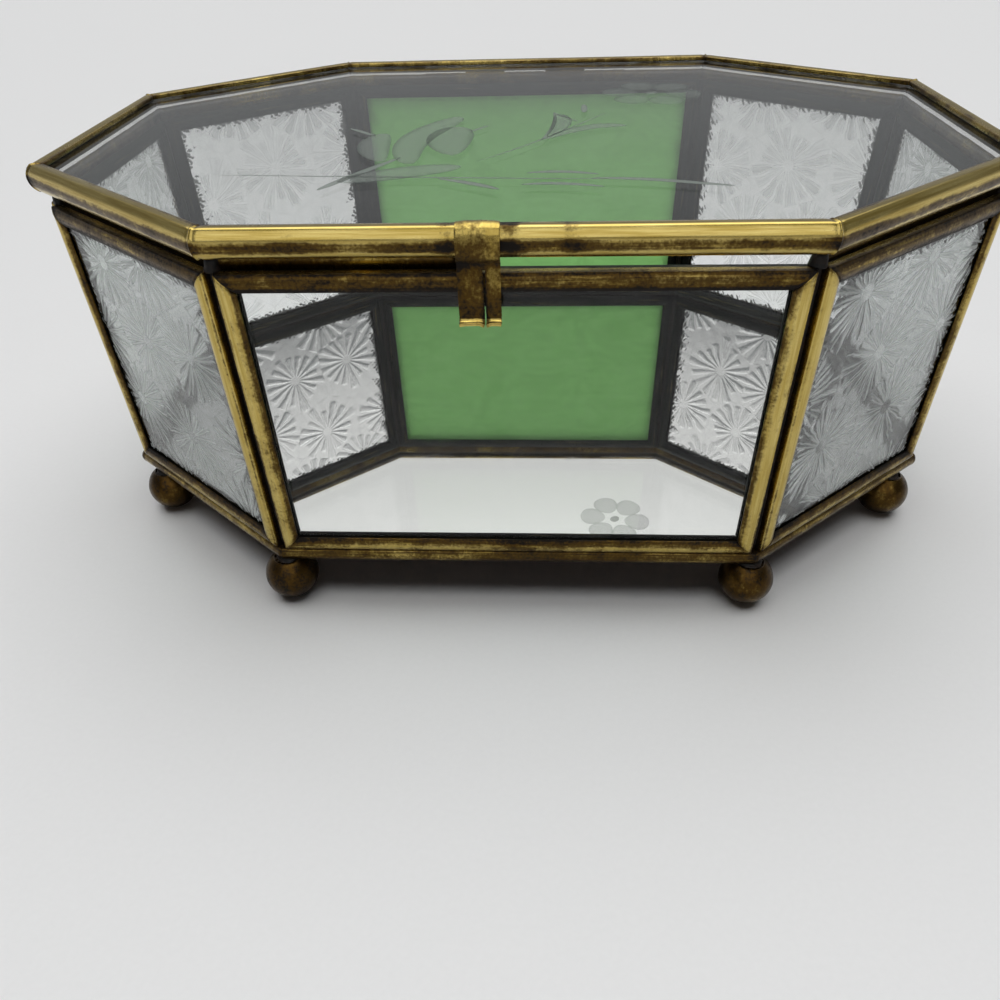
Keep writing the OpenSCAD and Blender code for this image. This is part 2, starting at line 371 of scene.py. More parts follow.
@dataclass(frozen=True)
class Channel:
    """A brass strip rolled to a U and folded round a polygon of glass.

    The section is drawn with u running in from the web's face and v across the glass.
    Bulges are radii. The darkening fields aged and flank have a value for each side in turn; the darkness is
    patina, with painted shade and painted highlights.
    """

    thick: float
    glass: float
    web: float = 1.0 * MM
    deep: float = 3.6 * MM
    seat: float = 0.1 * MM
    bend: float = 0.3 * MM
    nose: float = 0.2 * MM
    leg_bulge: float = 0.0
    web_bulge: float = 0.0
    swell: float = 0.0
    wave: float = 0.03 * MM
    fold: float = 0.11 * MM
    # Each side's darkness, partly patina; wear adds painted shade, a painted reflection and painted
    # highlights to it.
    aged: tuple[float, ...] = (0.2,)
    # Per side: solder and painted shade deep in the corner gaps on the web's face; a negative value paints a
    # highlight there instead.
    flank: tuple[float, ...] = (0.0,)
    # On the lid: a dark stripe across the web painted as the reflection of the dark room in front, and a
    # painted shade line along the lower edge.
    painted_reflection_band: float = 0.0
    painted_shade_line: float = 0.9
    # Painted shade inside the slot.
    inside: float = 1.2
    tin_from: float = 1.0 * MM
    shoulder: float = 0.6
    stains: tuple[Stain, ...] = ()
    stations: tuple[float, ...] = (0, 0.07, 0.16, 0.28, 0.45, 0.7, 1.05, 1.5, 2.2)

    def crown(self, u: Array) -> Array:
        """Half thickness of the channel at u: flat, or an arc of radius leg_bulge that stands swell proud."""
        if not self.leg_bulge:
            return np.full_like(u, self.thick / 2)
        r = self.leg_bulge
        return self.thick / 2 + self.swell - r + np.sqrt(r * r - (u - self.deep / 2) ** 2)

    def section(self) -> Array:
        """The closed outline, as an array (m, 2) of u and v.

        The upper half runs up the web's face, over a small round, along the leg, round its
        lip and back down the slot. The lower half is its mirror image.
        """
        slot = self.glass / 2 + self.seat
        turn = self.bend
        if self.web_bulge:
            r, v_end = self.web_bulge, self.thick / 2
            v = np.sin(np.linspace(0, 1, 9) * math.pi / 2) * (v_end - 0.12 * MM)
            face = np.stack([r - np.sqrt(r * r - v * v), v], 1)
            turn += r - math.sqrt(r * r - v_end * v_end)
        else:
            face = np.array([[0.0, 0.0], [0.0, 0.35], [0.0, 0.7]]) * [1, self.thick / 2]
        start = np.array([turn, float(self.crown(np.array(turn)))])
        knee = start - [0.22 * MM, 0] if self.web_bulge else np.array([0.0, start[1] - 0.02 * MM])
        t = np.linspace(0.15, 1, 5)[:, None]
        bend = (1 - t) ** 2 * face[-1] + 2 * t * (1 - t) * knee + t * t * start
        lip = self.deep - self.nose
        u = np.linspace(turn, lip, 11)[1:]
        leg = np.stack([u, self.crown(u)], 1)
        top = float(self.crown(np.array(lip)))
        a = np.linspace(math.pi / 2, -math.pi / 2, 7)[1:]
        nose = np.stack([lip + self.nose * np.cos(a), (top + slot) / 2 + (top - slot) / 2 * np.sin(a)], 1)
        back = np.array([[self.deep * 0.6, slot], [self.web + self.seat, slot], [self.web, slot - self.seat]])
        upper = np.concatenate([face, bend, leg, nose, back])
        return np.concatenate([upper, [[self.web, 0.0]], upper[1:][::-1] * [1, -1]])

    def wear(self, section: Array) -> tuple[Array, dict[str, Array], Array, Array]:
        """How the finish changes round the section.

        Returns:
            Where the skin is outside the slot (1 or 0); the marks back (1 on the leg away
            from the light, painted near black: tinning and painted shade) and edge (1 at the lip and at the
                web's corners: patina, with painted shade); the darkening that all sides share, which holds
                painted shade and on the lid a painted dark reflection; and
            where each side's own flank darkening lies (solder, with painted shade).
        """
        u, v = section.T
        outer = np.abs(v) > self.glass / 2 + self.seat + 0.05 * MM
        on_web = u < self.web * 0.9
        skin = (outer | on_web).astype(float)
        # The lip darkens towards the glass and the web's corners darken: patina, with painted shade; a
        # negative shoulder lightens the outer corner as a painted highlight.
        lip = ease(u, self.deep * 0.45, self.deep * 1.0) * np.where(v < 0, 1.0, 0.8)
        corner = hump(np.abs(v) - self.thick / 2 + 0.1 * MM, 0.25 * MM) * (u < 0.35 * MM)
        edge = np.maximum(lip, np.where(v < 0, 0.6, self.shoulder) * corner) * skin
        # The inner leg, which the finish paints near black: tinning, darkened as painted shade.
        back = ease(u, self.tin_from, self.tin_from + 0.5 * MM) * (v < 0)
        # A dark stripe across the lid's web is painted as the reflection of the dark room in front; the dark
        # line along its lower edge is painted shade.
        w = v / self.thick
        line = self.painted_shade_line * (1 - ease(w, -0.49, -0.42)) * (self.painted_reflection_band > 0)
        painted_reflection_band = (self.painted_reflection_band * ease(w, -0.38, -0.14) * (1 - ease(w, 0.06, 0.14)) + line) * on_web
        # Darker deep in the corner gaps on the web's face: solder, with painted shade.
        flank = on_web * (u < 0.25 * MM) * (1 - ease(w, -0.02, 0.40))
        # The shared darkness: the lid's painted reflection and shade line, and painted shade inside the slot.
        return skin, {"back": back, "edge": edge}, painted_reflection_band + self.inside * (1 - skin), flank

    def folded(self, corners: Array, place: Place, seed: int) -> Surface:
        """The section carried round a polygon with its folds on the mitres.

        A section point at u lies on the polygon moved in by u, at the same share s of its
        side: P = C_k(u) (1 - s) + C_k+1(u) s, raised v out of the plane. Rolling waves and a
        crease at each fold then move it along the section's own outward direction.

        Args:
            corners: The polygon that the web's face follows, anticlockwise.
            place: Where the polygon's plane lies.
            seed: Picks the waves.

        Returns:
            The closed channel. Marks: those of wear, fold (1 at a fold) and aged (the
            darkening: patina, with painted shade, a painted dark reflection and painted highlights). UV: mm
                along and around.
        """
        section = self.section()
        m = len(section)
        u, v = section.T
        rim = np.stack([moved_in(corners, inset) for inset in u], 1)
        step = np.roll(section, -1, 0) - np.roll(section, 1, 0)
        normal = unit(np.stack([step[:, 1], -step[:, 0]], 1))
        if normal[m // 8, 0] > 0 and u[m // 8] < self.web:
            normal = -normal
        skin, steady, shared, flank = self.wear(section)
        around = np.concatenate([[0], np.cumsum(np.linalg.norm(np.diff(section, axis=0), axis=1))])
        near, clear = np.array(self.stations) * MM, 3.2 * MM
        points, uv, travelled = [], [], 0.0
        marks: dict[str, list[Array]] = {"back": [], "edge": [], "fold": [], "aged": []}
        for k, corner in enumerate(corners):
            ahead = corners[(k + 1) % len(corners)] - corner
            length = float(np.linalg.norm(ahead))
            middle = np.linspace(clear, length - clear, max(6, int(length / (1.6 * MM))))
            d = np.concatenate([near, middle, length - near[:0:-1]])
            s = (d / length)[:, None, None]
            flat = rim[k][None] * (1 - s) + rim[(k + 1) % len(corners)][None] * s
            inward = np.array([-ahead[1] / length, ahead[0] / length])
            away, run = np.minimum(d, length - d)[:, None], (travelled + d)[:, None]
            travelled += length
            grid = layered(run / 6, v[None], u[None])
            crease = -hump(away, 0.16 * MM) + 0.5 * hump(away - 0.55 * MM, 0.3 * MM)
            lift = (self.wave * ripple(grid, seed + k, 9 * MM) + self.fold * crease) * skin
            flat = flat + normal[:, :1] * inward * lift[..., None]
            points.append(place.lay(flat, v + normal[:, 1] * lift))
            # Each side's darkness with the shared darkness and the flank: patina, painted shade, a painted
            # reflection and painted highlights.
            aged = self.aged[k % len(self.aged)] + shared + flank * self.flank[k % len(self.flank)]
            aged = np.broadcast_to(aged, lift.shape).copy()
            for stain in self.stains:
                if stain.side == k:
                    ragged = 0.45 * stain.half * ripple(grid, seed + 60, 4 * MM)
                    aged += stain.amount * hump(away - stain.at + ragged, stain.half) * skin
            for name, values in {**steady, "fold": hump(away, 1.3 * MM), "aged": aged}.items():
                marks[name].append(np.broadcast_to(values, lift.shape))
            uv.append(layered(run, around[None]))
        rows = sum(len(p) for p in points)
        return Surface(
            np.concatenate(points).reshape(-1, 3),
            [grid_faces(rows, m, wrap_rows=True, wrap_cols=True)],
            {name: np.concatenate(values).ravel() for name, values in marks.items()},
            np.concatenate(uv).reshape(-1, 2) / MM,
        ).outward()


# ---------------------------------------------------------------- building a finish


class Value:
    """A socket that carries a number over the surface, with arithmetic."""

    def __init__(self, kit: "Kit", socket: bpy.types.NodeSocket) -> None:
        self.kit, self.socket = kit, socket

    def maths(self, operation: str, other: "Value | float", clamp: bool = False) -> "Value":
        """Adds a Math node on this value and another."""
        settings = {"operation": operation, "use_clamp": clamp}
        return Value(self.kit, self.kit.node("ShaderNodeMath", settings, {0: self, 1: other}).outputs[0])

    def __add__(self, other: "Value | float") -> "Value":
        """Sum."""
        return self.maths("ADD", other)

    def __sub__(self, other: "Value | float") -> "Value":
        """Difference."""
        return self.maths("SUBTRACT", other)

    def __rsub__(self, other: float) -> "Value":
        """Reflected difference."""
        return (self * -1.0) + other

    def __mul__(self, other: "Value | float") -> "Value":
        """Product."""
        return self.maths("MULTIPLY", other)

    def step(self, low: float, high: float) -> "Value":
        """Smooth step from 0 at low to 1 at high."""
        found = self.kit.node("ShaderNodeMapRange", {"interpolation_type": "SMOOTHSTEP"},
                              {"Value": self, "From Min": low, "From Max": high})
        return Value(self.kit, found.outputs["Result"])

    def clamped(self) -> "Value":
        """The value held between 0 and 1."""
        return self.maths("ADD", 0.0, clamp=True)


class Kit:
    """One material, or the world, under construction."""

    def __init__(self, name: str, world: bool = False) -> None:
        """Starts an empty material or world with an output."""
        self.material = (bpy.data.worlds if world else bpy.data.materials).new(name)
        self.material.use_nodes = True
        self.tree = self.material.node_tree
        self.tree.nodes.clear()
        self.output = self.tree.nodes.new("ShaderNodeOutputWorld" if world else "ShaderNodeOutputMaterial")

    def feed(self, socket: bpy.types.NodeSocket, item: object) -> None:
        """Links a value or the output of a node to an input, or sets the input to a constant."""
        if isinstance(item, Value):
            self.tree.links.new(item.socket, socket)
        elif isinstance(item, bpy.types.Node):
            self.tree.links.new(item.outputs[0], socket)
        elif isinstance(item, tuple) and socket.type == "RGBA":
            socket.default_value = (*item, 1.0)
        else:
            socket.default_value = item

    def node(self, kind: str, settings: dict | None = None, sockets: dict | None = None) -> bpy.types.Node:
        """Adds a node.

        Args:
            kind: The node's type.
            settings: Attributes that are set first.
            sockets: What its inputs take, by name or number.

        Returns:
            The node.
        """
        node = self.tree.nodes.new(kind)
        for key, value in (settings or {}).items():
            setattr(node, key, value)
        for key, item in (sockets or {}).items():
            self.feed(node.inputs[key], item)
        return node

    def shader(self, kind: str = "Principled", **sockets: object) -> bpy.types.Node:
        """Adds a shader of this kind; in the names of its inputs, _ stands for a space."""
        return self.node(f"ShaderNodeBsdf{kind}", None, {k.replace("_", " "): v for k, v in sockets.items()})

    def mark(self, name: str) -> Value:
        """A number stored at the mesh's points."""
        return Value(self, self.node("ShaderNodeAttribute", {"attribute_name": name}).outputs["Fac"])

    def place(self, scale: tuple[float, float, float] = (1, 1, 1), run: bool = False) -> bpy.types.Node:
        """Object coordinates, or the run along and around a channel, scaled."""
        source = Value(self, self.node("ShaderNodeTexCoord").outputs["UV" if run else "Object"])
        return self.node("ShaderNodeMapping", None, {"Vector": source, "Scale": scale})

    def part(self, where: object, axis: int) -> Value:
        """One component of a vector."""
        return Value(self, self.node("ShaderNodeSeparateXYZ", None, {0: where}).outputs[axis])

    def rays(self, *kinds: str) -> Value:
        """1 for a ray of any of these kinds."""
        path = self.node("ShaderNodeLightPath")
        found, *others = (Value(self, path.outputs[f"Is {kind} Ray"]) for kind in kinds)
        for other in others:
            found = found.maths("MAXIMUM", other)
        return found

    def noise(self, where: object, scale: float, detail: float = 3, rough: float = 0.6,
              warp: float = 0.0) -> Value:
        """Cloudy noise between 0 and 1."""
        node = self.node("ShaderNodeTexNoise", None, {"Vector": where, "Scale": scale, "Detail": detail,
                                                      "Roughness": rough, "Distortion": warp})
        return Value(self, node.outputs[0])

    def mix(self, share: Value | float, a: object, b: object) -> Value:
        """A colour between a and b."""
        node = self.node("ShaderNodeMix", {"data_type": "RGBA"}, {0: share, 6: a, 7: b})
        return Value(self, node.outputs[2])

    def blend(self, share: Value | float, a: bpy.types.Node, b: bpy.types.Node) -> bpy.types.Node:
        """A shader between a and b."""
        return self.node("ShaderNodeMixShader", None, {0: share, 1: a, 2: b})

    def bump(self, height: Value, strength: float, distance: float) -> bpy.types.Node:
        """A normal tilted by a height in metres times distance."""
        return self.node("ShaderNodeBump", None,
                         {"Strength": strength, "Distance": distance, "Height": height})

    def surface(self, shader: bpy.types.Node) -> bpy.types.Material:
        """Finishes the material, or the world, with this shader."""
        self.feed(self.output.inputs[0], shader)
        return self.material

    def lit_through(self, shader: bpy.types.Node, tint: Colour) -> bpy.types.Material:
        """Finishes a glass that lets the light of lamps and surfaces through to what it covers."""
        return self.surface(self.blend(self.rays("Shadow", "Diffuse"), shader,
                                       self.shader("Transparent", Color=tint)))


# ---------------------------------------------------------------- finishes


@dataclass(frozen=True)
class AgedBrass:
    """Polished brass, brown and blackened along its lips, folds and joints, with painted shade, a painted
    reflection and painted highlights from the channel's marks.
    """

    name: str
    bright: Colour = (0.66, 0.525, 0.185)
    worn: Colour = (0.42, 0.30, 0.068)
    brown: Colour = (0.052, 0.026, 0.006)
    black: Colour = (0.009, 0.006, 0.004)
    # Near black: tinning on the inner leg, darkened as painted shade.
    shaded_tin: Colour = (0.012, 0.013, 0.012)
    rubbed_tin: Colour = (0.12, 0.095, 0.040)
    at_edge: float = 0.62
    at_fold: float = 0.22
    by_patina_and_painted_light: float = 0.55
    clouded: float = 0.75
    streaked: float = 0.95
    patched: float = 0.8
    specked: float = 0.45
    browning: float = 0.0
    rough: float = 0.17
    rolled: bool = True

    def made(self) -> bpy.types.Material:
        """The material: streaks run along the channel, stains gather at lips and folds, and the marks add
        painted shade, a painted reflection and painted highlights.
        """
        kit = Kit(self.name)
        body = kit.place()
        long = kit.place((0.035, 0.8, 1.0), run=True) if self.rolled else kit.place((260, 60, 90))
        streak, cloud = kit.noise(long, 1.7, 4, 0.65), kit.noise(body, 260, 5, 0.7)
        patch, speck = kit.noise(body, 48), kit.noise(body, 1700, 2)
        # Stains and patina, plus the painted shade, painted reflection and painted highlights that the marks
        # edge and aged carry.
        stain = (kit.mark("edge") * self.at_edge + kit.mark("fold") * self.at_fold
                 + kit.mark("aged") * self.by_patina_and_painted_light + (cloud - 0.5) * self.clouded
                 + (streak - 0.5) * self.streaked + (patch - 0.5) * self.patched
                 + (speck - 0.5) * self.specked + self.browning)
        browned_and_shaded = stain.step(0.10, 0.60)
        blacked_and_shaded = (stain + (speck - 0.5) * 0.3).step(0.58, 0.95)
        tinned_and_shaded = (kit.mark("back") + (cloud - 0.5) * 0.7).step(0.35, 0.65)
        base = kit.mix(streak.step(0.28, 0.74), self.worn, self.bright)
        base = kit.mix(blacked_and_shaded, kit.mix(browned_and_shaded * 0.95, base, self.brown), self.black)
        base = kit.mix(tinned_and_shaded, base, kit.mix(streak.step(0.55, 0.72), self.shaded_tin, self.rubbed_tin))
        rough = self.rough_value(browned_and_shaded, blacked_and_shaded, tinned_and_shaded, speck)
        height = cloud * 0.35 + streak * 0.5 + speck * 0.12 - blacked_and_shaded * 0.25
        return kit.surface(kit.shader(
            Base_Color=base, Metallic=1.0 - blacked_and_shaded * 0.4, Roughness=rough, Specular_IOR_Level=0.25,
            Normal=kit.bump(height, 0.22, 0.05 * MM)))

    def rough_value(self, browned_and_shaded: Value, blacked_and_shaded: Value, tinned_and_shaded: Value, speck: Value) -> Value:
        """How rough the metal is: more so where it is stained or painted with shade, on the inner leg's
        tinning, or where it is specked.
        """
        return browned_and_shaded * 0.14 + self.rough + blacked_and_shaded * 0.22 + tinned_and_shaded * 0.16 + speck * 0.05


@dataclass(frozen=True)
class Solder:
    """Blackened soft solder with tinny glints."""

    name: str = "blackened solder"
    black: Colour = (0.006, 0.005, 0.004)
    brown: Colour = (0.020, 0.011, 0.006)
    tinny: Colour = (0.17, 0.16, 0.145)

    def made(self) -> bpy.types.Material:
        """The material: near black, with grey metal where it has been rubbed."""
        kit = Kit(self.name)
        where = kit.place()
        lump, fine = kit.noise(where, 420, 4), kit.noise(where, 2400, 2)
        rubbed = (lump + fine * 0.3).step(0.76, 0.98)
        base = kit.mix(rubbed, kit.mix(lump.step(0.4, 0.6), self.black, self.brown), self.tinny)
        return kit.surface(kit.shader(
            Base_Color=base, Metallic=rubbed * 0.9, Roughness=0.44 - rubbed * 0.2 + fine * 0.12,
            Specular_IOR_Level=0.22, Normal=kit.bump(lump + fine * 0.3, 0.5, 0.25 * MM)))


@dataclass(frozen=True)
class Glass:
    """Polished glass that lets lamps light what is behind it."""

    name: str
    tint: Colour = (0.975, 0.985, 0.978)
    passed: Colour = (0.91, 0.92, 0.915)
    haze: float = 0.004
    index: float = 1.5

    def made(self) -> bpy.types.Material:
        """The material, with faint wiping marks in its gloss."""
        kit = Kit(self.name)
        wiped = kit.noise(kit.place(), 38, 4, warp=1.2)
        return kit.lit_through(kit.shader(
            Base_Color=self.tint, Transmission_Weight=1.0, IOR=self.index,
            Roughness=wiped.step(0.55, 0.8) * 0.02 + self.haze), self.passed)


@dataclass(frozen=True)
class PressedGlass:
    """Pressed glass: clear in its flutes, sooty where it meets the channel, with white frost painted along
    the flutes' edges as highlights and into the floors that face the light, and painted shade towards its
    foot.

    The values here are the rear walls'.
    """

    name: str = "pressed star glass"
    tint: Colour = (0.985, 0.995, 0.99)
    # A darker tint towards the foot, as painted shade, fading out between foot_from and foot_to.
    foot: Colour = (0.94, 0.955, 0.95)
    foot_from: float = 14 * MM
    foot_to: float = 62 * MM
    # Shares of white frost that paint the ridge lines as highlights and light the flute floors.
    lines: float = 0.40
    floors: float = 0.60
    haze: float = 0.01
    soot: Colour = (0.012, 0.012, 0.011)
    milk: Colour = (0.90, 0.92, 0.92)
    shine: Colour = (0.86, 0.88, 0.88)
    passed: Colour = (0.66, 0.68, 0.67)

    def made(self) -> bpy.types.Material:
        """The material, from the pane's marks ridge, bloom and soot; ridge and bloom paint highlights and
        light in white frost.
        """
        kit = Kit(self.name)
        grain, soot = kit.noise(kit.place(), 900), kit.mark("soot")
        # Darker towards the foot: painted shade for the shadowed table seen through the glass low down.
        tint = kit.mix(kit.part(kit.place(), 2).step(self.foot_from, self.foot_to), self.foot, self.tint)
        glass = kit.shader(Base_Color=kit.mix(soot, tint, self.soot), Transmission_Weight=1.0, IOR=1.5,
                           Roughness=grain * 0.05 + 0.01)
        # A white layer of translucent and diffuse frost paints the highlights and light that the marks ridge
        # and bloom place.
        frost = kit.blend(0.5, kit.shader("Translucent", Color=self.milk),
                          kit.shader("Diffuse", Color=self.shine))
        share = kit.mark("ridge") * self.lines + kit.mark("bloom") * self.floors + self.haze
        return kit.lit_through(kit.blend((share * (1.0 - soot)).clamped(), glass, frost), self.passed)


@dataclass(frozen=True)
class WispyGlass:
    """Streaky green sheet glass, a little milkier where the pale streaks lie."""

    name: str = "wispy green glass"
    deep: Colour = (0.14, 0.33, 0.09)
    pale: Colour = (0.30, 0.54, 0.22)
    milk: Colour = (0.53, 0.82, 0.43)
    soot: Colour = (0.008, 0.012, 0.006)
    passed: Colour = (0.40, 0.58, 0.36)
    milky: float = 0.64
    streaks: float = 0.26

    def made(self) -> bpy.types.Material:
        """The material: clear green glass shared with a lit-through milky body."""
        kit = Kit(self.name)
        wisp = kit.noise(kit.place((0.8, 1, 1.25)), 34, 4, 0.55, 1.6)
        fine = kit.noise(kit.place((0.35, 1, 1.6)), 130, warp=0.8)
        clean = 1.0 - kit.mark("soot")
        share = (wisp * 0.8 + fine * 0.3).step(0.35, 0.8)
        glass = kit.shader(Base_Color=kit.mix(clean, self.soot, kit.mix(share, self.deep, self.pale)),
                           Transmission_Weight=1.0, IOR=1.22, Roughness=0.10,
                           Normal=kit.bump(wisp + fine * 0.15, 0.35, 1.2 * MM))
        milky = (share * self.streaks + self.milky) * clean
        milk = kit.shader("Translucent", Color=self.milk)
        return kit.lit_through(kit.blend(milky.clamped(), glass, milk), self.passed)


@dataclass(frozen=True)
class FrostedCut:
    """The ground floor of a wheel cut: a thin veil of frost on the glass."""

    name: str = "wheel-cut frost"
    floor: Colour = (0.29, 0.33, 0.30)
    brink: Colour = (0.17, 0.20, 0.18)
    veil: float = 0.26

    def made(self) -> bpy.types.Material:
        """The material: pale frost, thicker towards a cut's rim."""
        kit = Kit(self.name)
        grain, rim = kit.noise(kit.place(), 2600, 2), kit.mark("rim")
        veil = grain * 0.12 + self.veil + kit.mark("fine") * 0.28 + rim.step(0.6, 1.0) * 0.08
        return kit.surface(kit.shader(
            Base_Color=kit.mix(rim.step(0.55, 1.0), self.floor, self.brink), Roughness=0.5,
            Specular_IOR_Level=0.2, Alpha=(veil * kit.mark("frost")).clamped(),
            Normal=kit.bump(grain, 0.3, 0.05 * MM)))


@dataclass(frozen=True)
class Silvering:
    """The mirror: bright silver above, brown backing paint below."""

    name: str = "silvered base"
    silver: Colour = (0.68, 0.675, 0.67)
    paint: tuple[Colour, Colour] = ((0.10, 0.062, 0.045), (0.15, 0.095, 0.07))

    def made(self) -> bpy.types.Material:
        """The material: told apart by which way the face looks."""
        kit = Kit(self.name)
        normal = Value(kit, kit.node("ShaderNodeNewGeometry").outputs["Normal"])
        above = kit.part(normal, 2).step(0.2, 0.6)
        dust = kit.noise(kit.place(), 60, 5, 0.65)
        backing = kit.mix(kit.noise(kit.place(), 700), *self.paint)
        return kit.surface(kit.shader(
            Base_Color=kit.mix(above, backing, self.silver), Metallic=above,
            Roughness=(1.0 - above) * 0.5 + dust.step(0.5, 0.85) * 0.06 + 0.015))


@dataclass(frozen=True)
class Finishes:
    """All the casket's finishes, each made once."""

    brass: bpy.types.Material
    dull: bpy.types.Material
    clasp: bpy.types.Material
    solder: bpy.types.Material
    clear: bpy.types.Material
    lid: bpy.types.Material
    pressed: bpy.types.Material
    far_pressed: bpy.types.Material
    green: bpy.types.Material
    frost: bpy.types.Material
    mirror: bpy.types.Material

    @classmethod
    def make(cls) -> "Finishes":
        """Makes every material."""
        return cls(*(finish.made() for finish in (
            AgedBrass("aged brass channel"),
            AgedBrass("dull brass", browning=0.62, rough=0.15, rolled=False,
                      bright=(0.36, 0.26, 0.075), worn=(0.22, 0.145, 0.035)),
            AgedBrass("clasp brass", browning=0.02, rough=0.2, rolled=False,
                      bright=(0.60, 0.46, 0.135), worn=(0.36, 0.255, 0.058)),
            Solder(),
            Glass("clear wall glass", index=1.26),
            Glass("lid glass", tint=(0.955, 0.97, 0.96)),
            # The near panes take a darker copy of the same glass, darker still at the foot, as painted shade,
            # with stronger painted ridge highlights.
            PressedGlass(tint=(0.76, 0.78, 0.775), foot=(0.60, 0.62, 0.615), lines=0.9),
            PressedGlass("pressed star glass, rear"),
            WispyGlass(),
            FrostedCut(),
            Silvering())))


# ---------------------------------------------------------------- sub-assemblies


@dataclass
class BaseTray:
    """The mirror in its octagonal channel."""

    plan: Plan
    finishes: Finishes
    glass: float = 2 * MM
    bulge: float = 2.2 * MM
    seed: int = 11

    def build(self) -> None:
        """Makes the base channel and dresses the mirror."""
        low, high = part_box("base_channel")
        strip = Channel(high.z - low.z, self.glass, web_bulge=self.bulge, aged=(1.0, 0.8))
        rail = strip.folded(self.plan.outline(), Place.level(low.z, high.z), self.seed)
        put("base_rail", rail, Body.BOX, self.finishes.brass, ["base_channel"])
        dress("base_mirror", self.finishes.mirror)


@dataclass
class PressedPane:
    """A pane pressed with a pattern on its outer face, sooty along the channel."""

    step: float = 0.22 * MM
    edge_in: float = 1.2 * MM
    thick: float = 2.0 * MM
    hammer: float = 0.05 * MM
    soot_from: float = 2.4 * MM
    soot_level: float = 0.6
    teeth: float = 3.1
    sway: float = 0.5
    blur: float = 0.12 * MM

    def relief(self, x: Array, y: Array, seed: int) -> tuple[Array, dict[str, Array]]:
        """Gentle hammering: how far the face lies below the pane's surface at x, y, and its marks."""
        return self.hammer * (1 + ripple(np.stack([x, y], -1), seed, 11 * MM)), {}

    def soot(self, x: Array, y: Array, w: float, h: float, seed: int) -> Array:
        """1 near the pane's edges, with teeth that are longer along the upright ones."""
        flat = np.stack([x, y], -1)
        beside, above = np.minimum(x, w - x), np.minimum(y, h - y)
        teeth = self.teeth * np.abs(ripple(flat, seed + 7, 2.6 * MM, 2)) - self.soot_level
        teeth = teeth + self.sway * ripple(flat, seed + 8, 9 * MM, 2)
        reach = self.soot_from + (0.75 + teeth * np.where(beside < above, 1.0, 0.6)) * MM
        return ease(reach - np.minimum(beside, above), -self.blur, self.blur)

    def pane(self, wall: Wall, seed: int) -> Surface:
        """A pane whose outer face carries the relief: an even grid in front, one flat face behind.

        The mark soot is 1 where the glass meets the channel, with a ragged inner edge.
        """
        w, h = wall.width - 2 * self.edge_in, wall.height - 2 * self.edge_in
        nx, ny = int(w / self.step) + 1, int(h / self.step) + 1
        x, y = np.meshgrid(np.linspace(0, w, nx), np.linspace(0, h, ny), indexing="ij")
        dip, marks = self.relief(x, y, seed)
        marks = marks | {"soot": self.soot(x, y, w, h, seed)}
        flat = np.stack([x, y], -1) + self.edge_in
        front = wall.place.lay(flat, self.thick / 2 - dip).reshape(-1, 3)
        ids = np.arange(nx * ny).reshape(nx, ny)
        rim = np.concatenate([ids[:-1, 0], ids[-1, :-1], ids[:0:-1, -1], ids[0, :0:-1]])
        back = wall.place.lay(flat.reshape(-1, 2)[rim], np.full(len(rim), -self.thick / 2))
        k = np.arange(len(rim))
        k1 = (k + 1) % len(rim)
        base = nx * ny
        sides = np.stack([rim[k], base + k, base + k1, rim[k1]], 1)
        behind = (base + k[::-1])[None]
        skin = Surface(np.concatenate([front, back]), [grid_faces(nx, ny)[:, ::-1], sides, behind],
                       {name: np.append(mark.ravel(), np.zeros(len(rim))) for name, mark in marks.items()})
        return skin.outward()


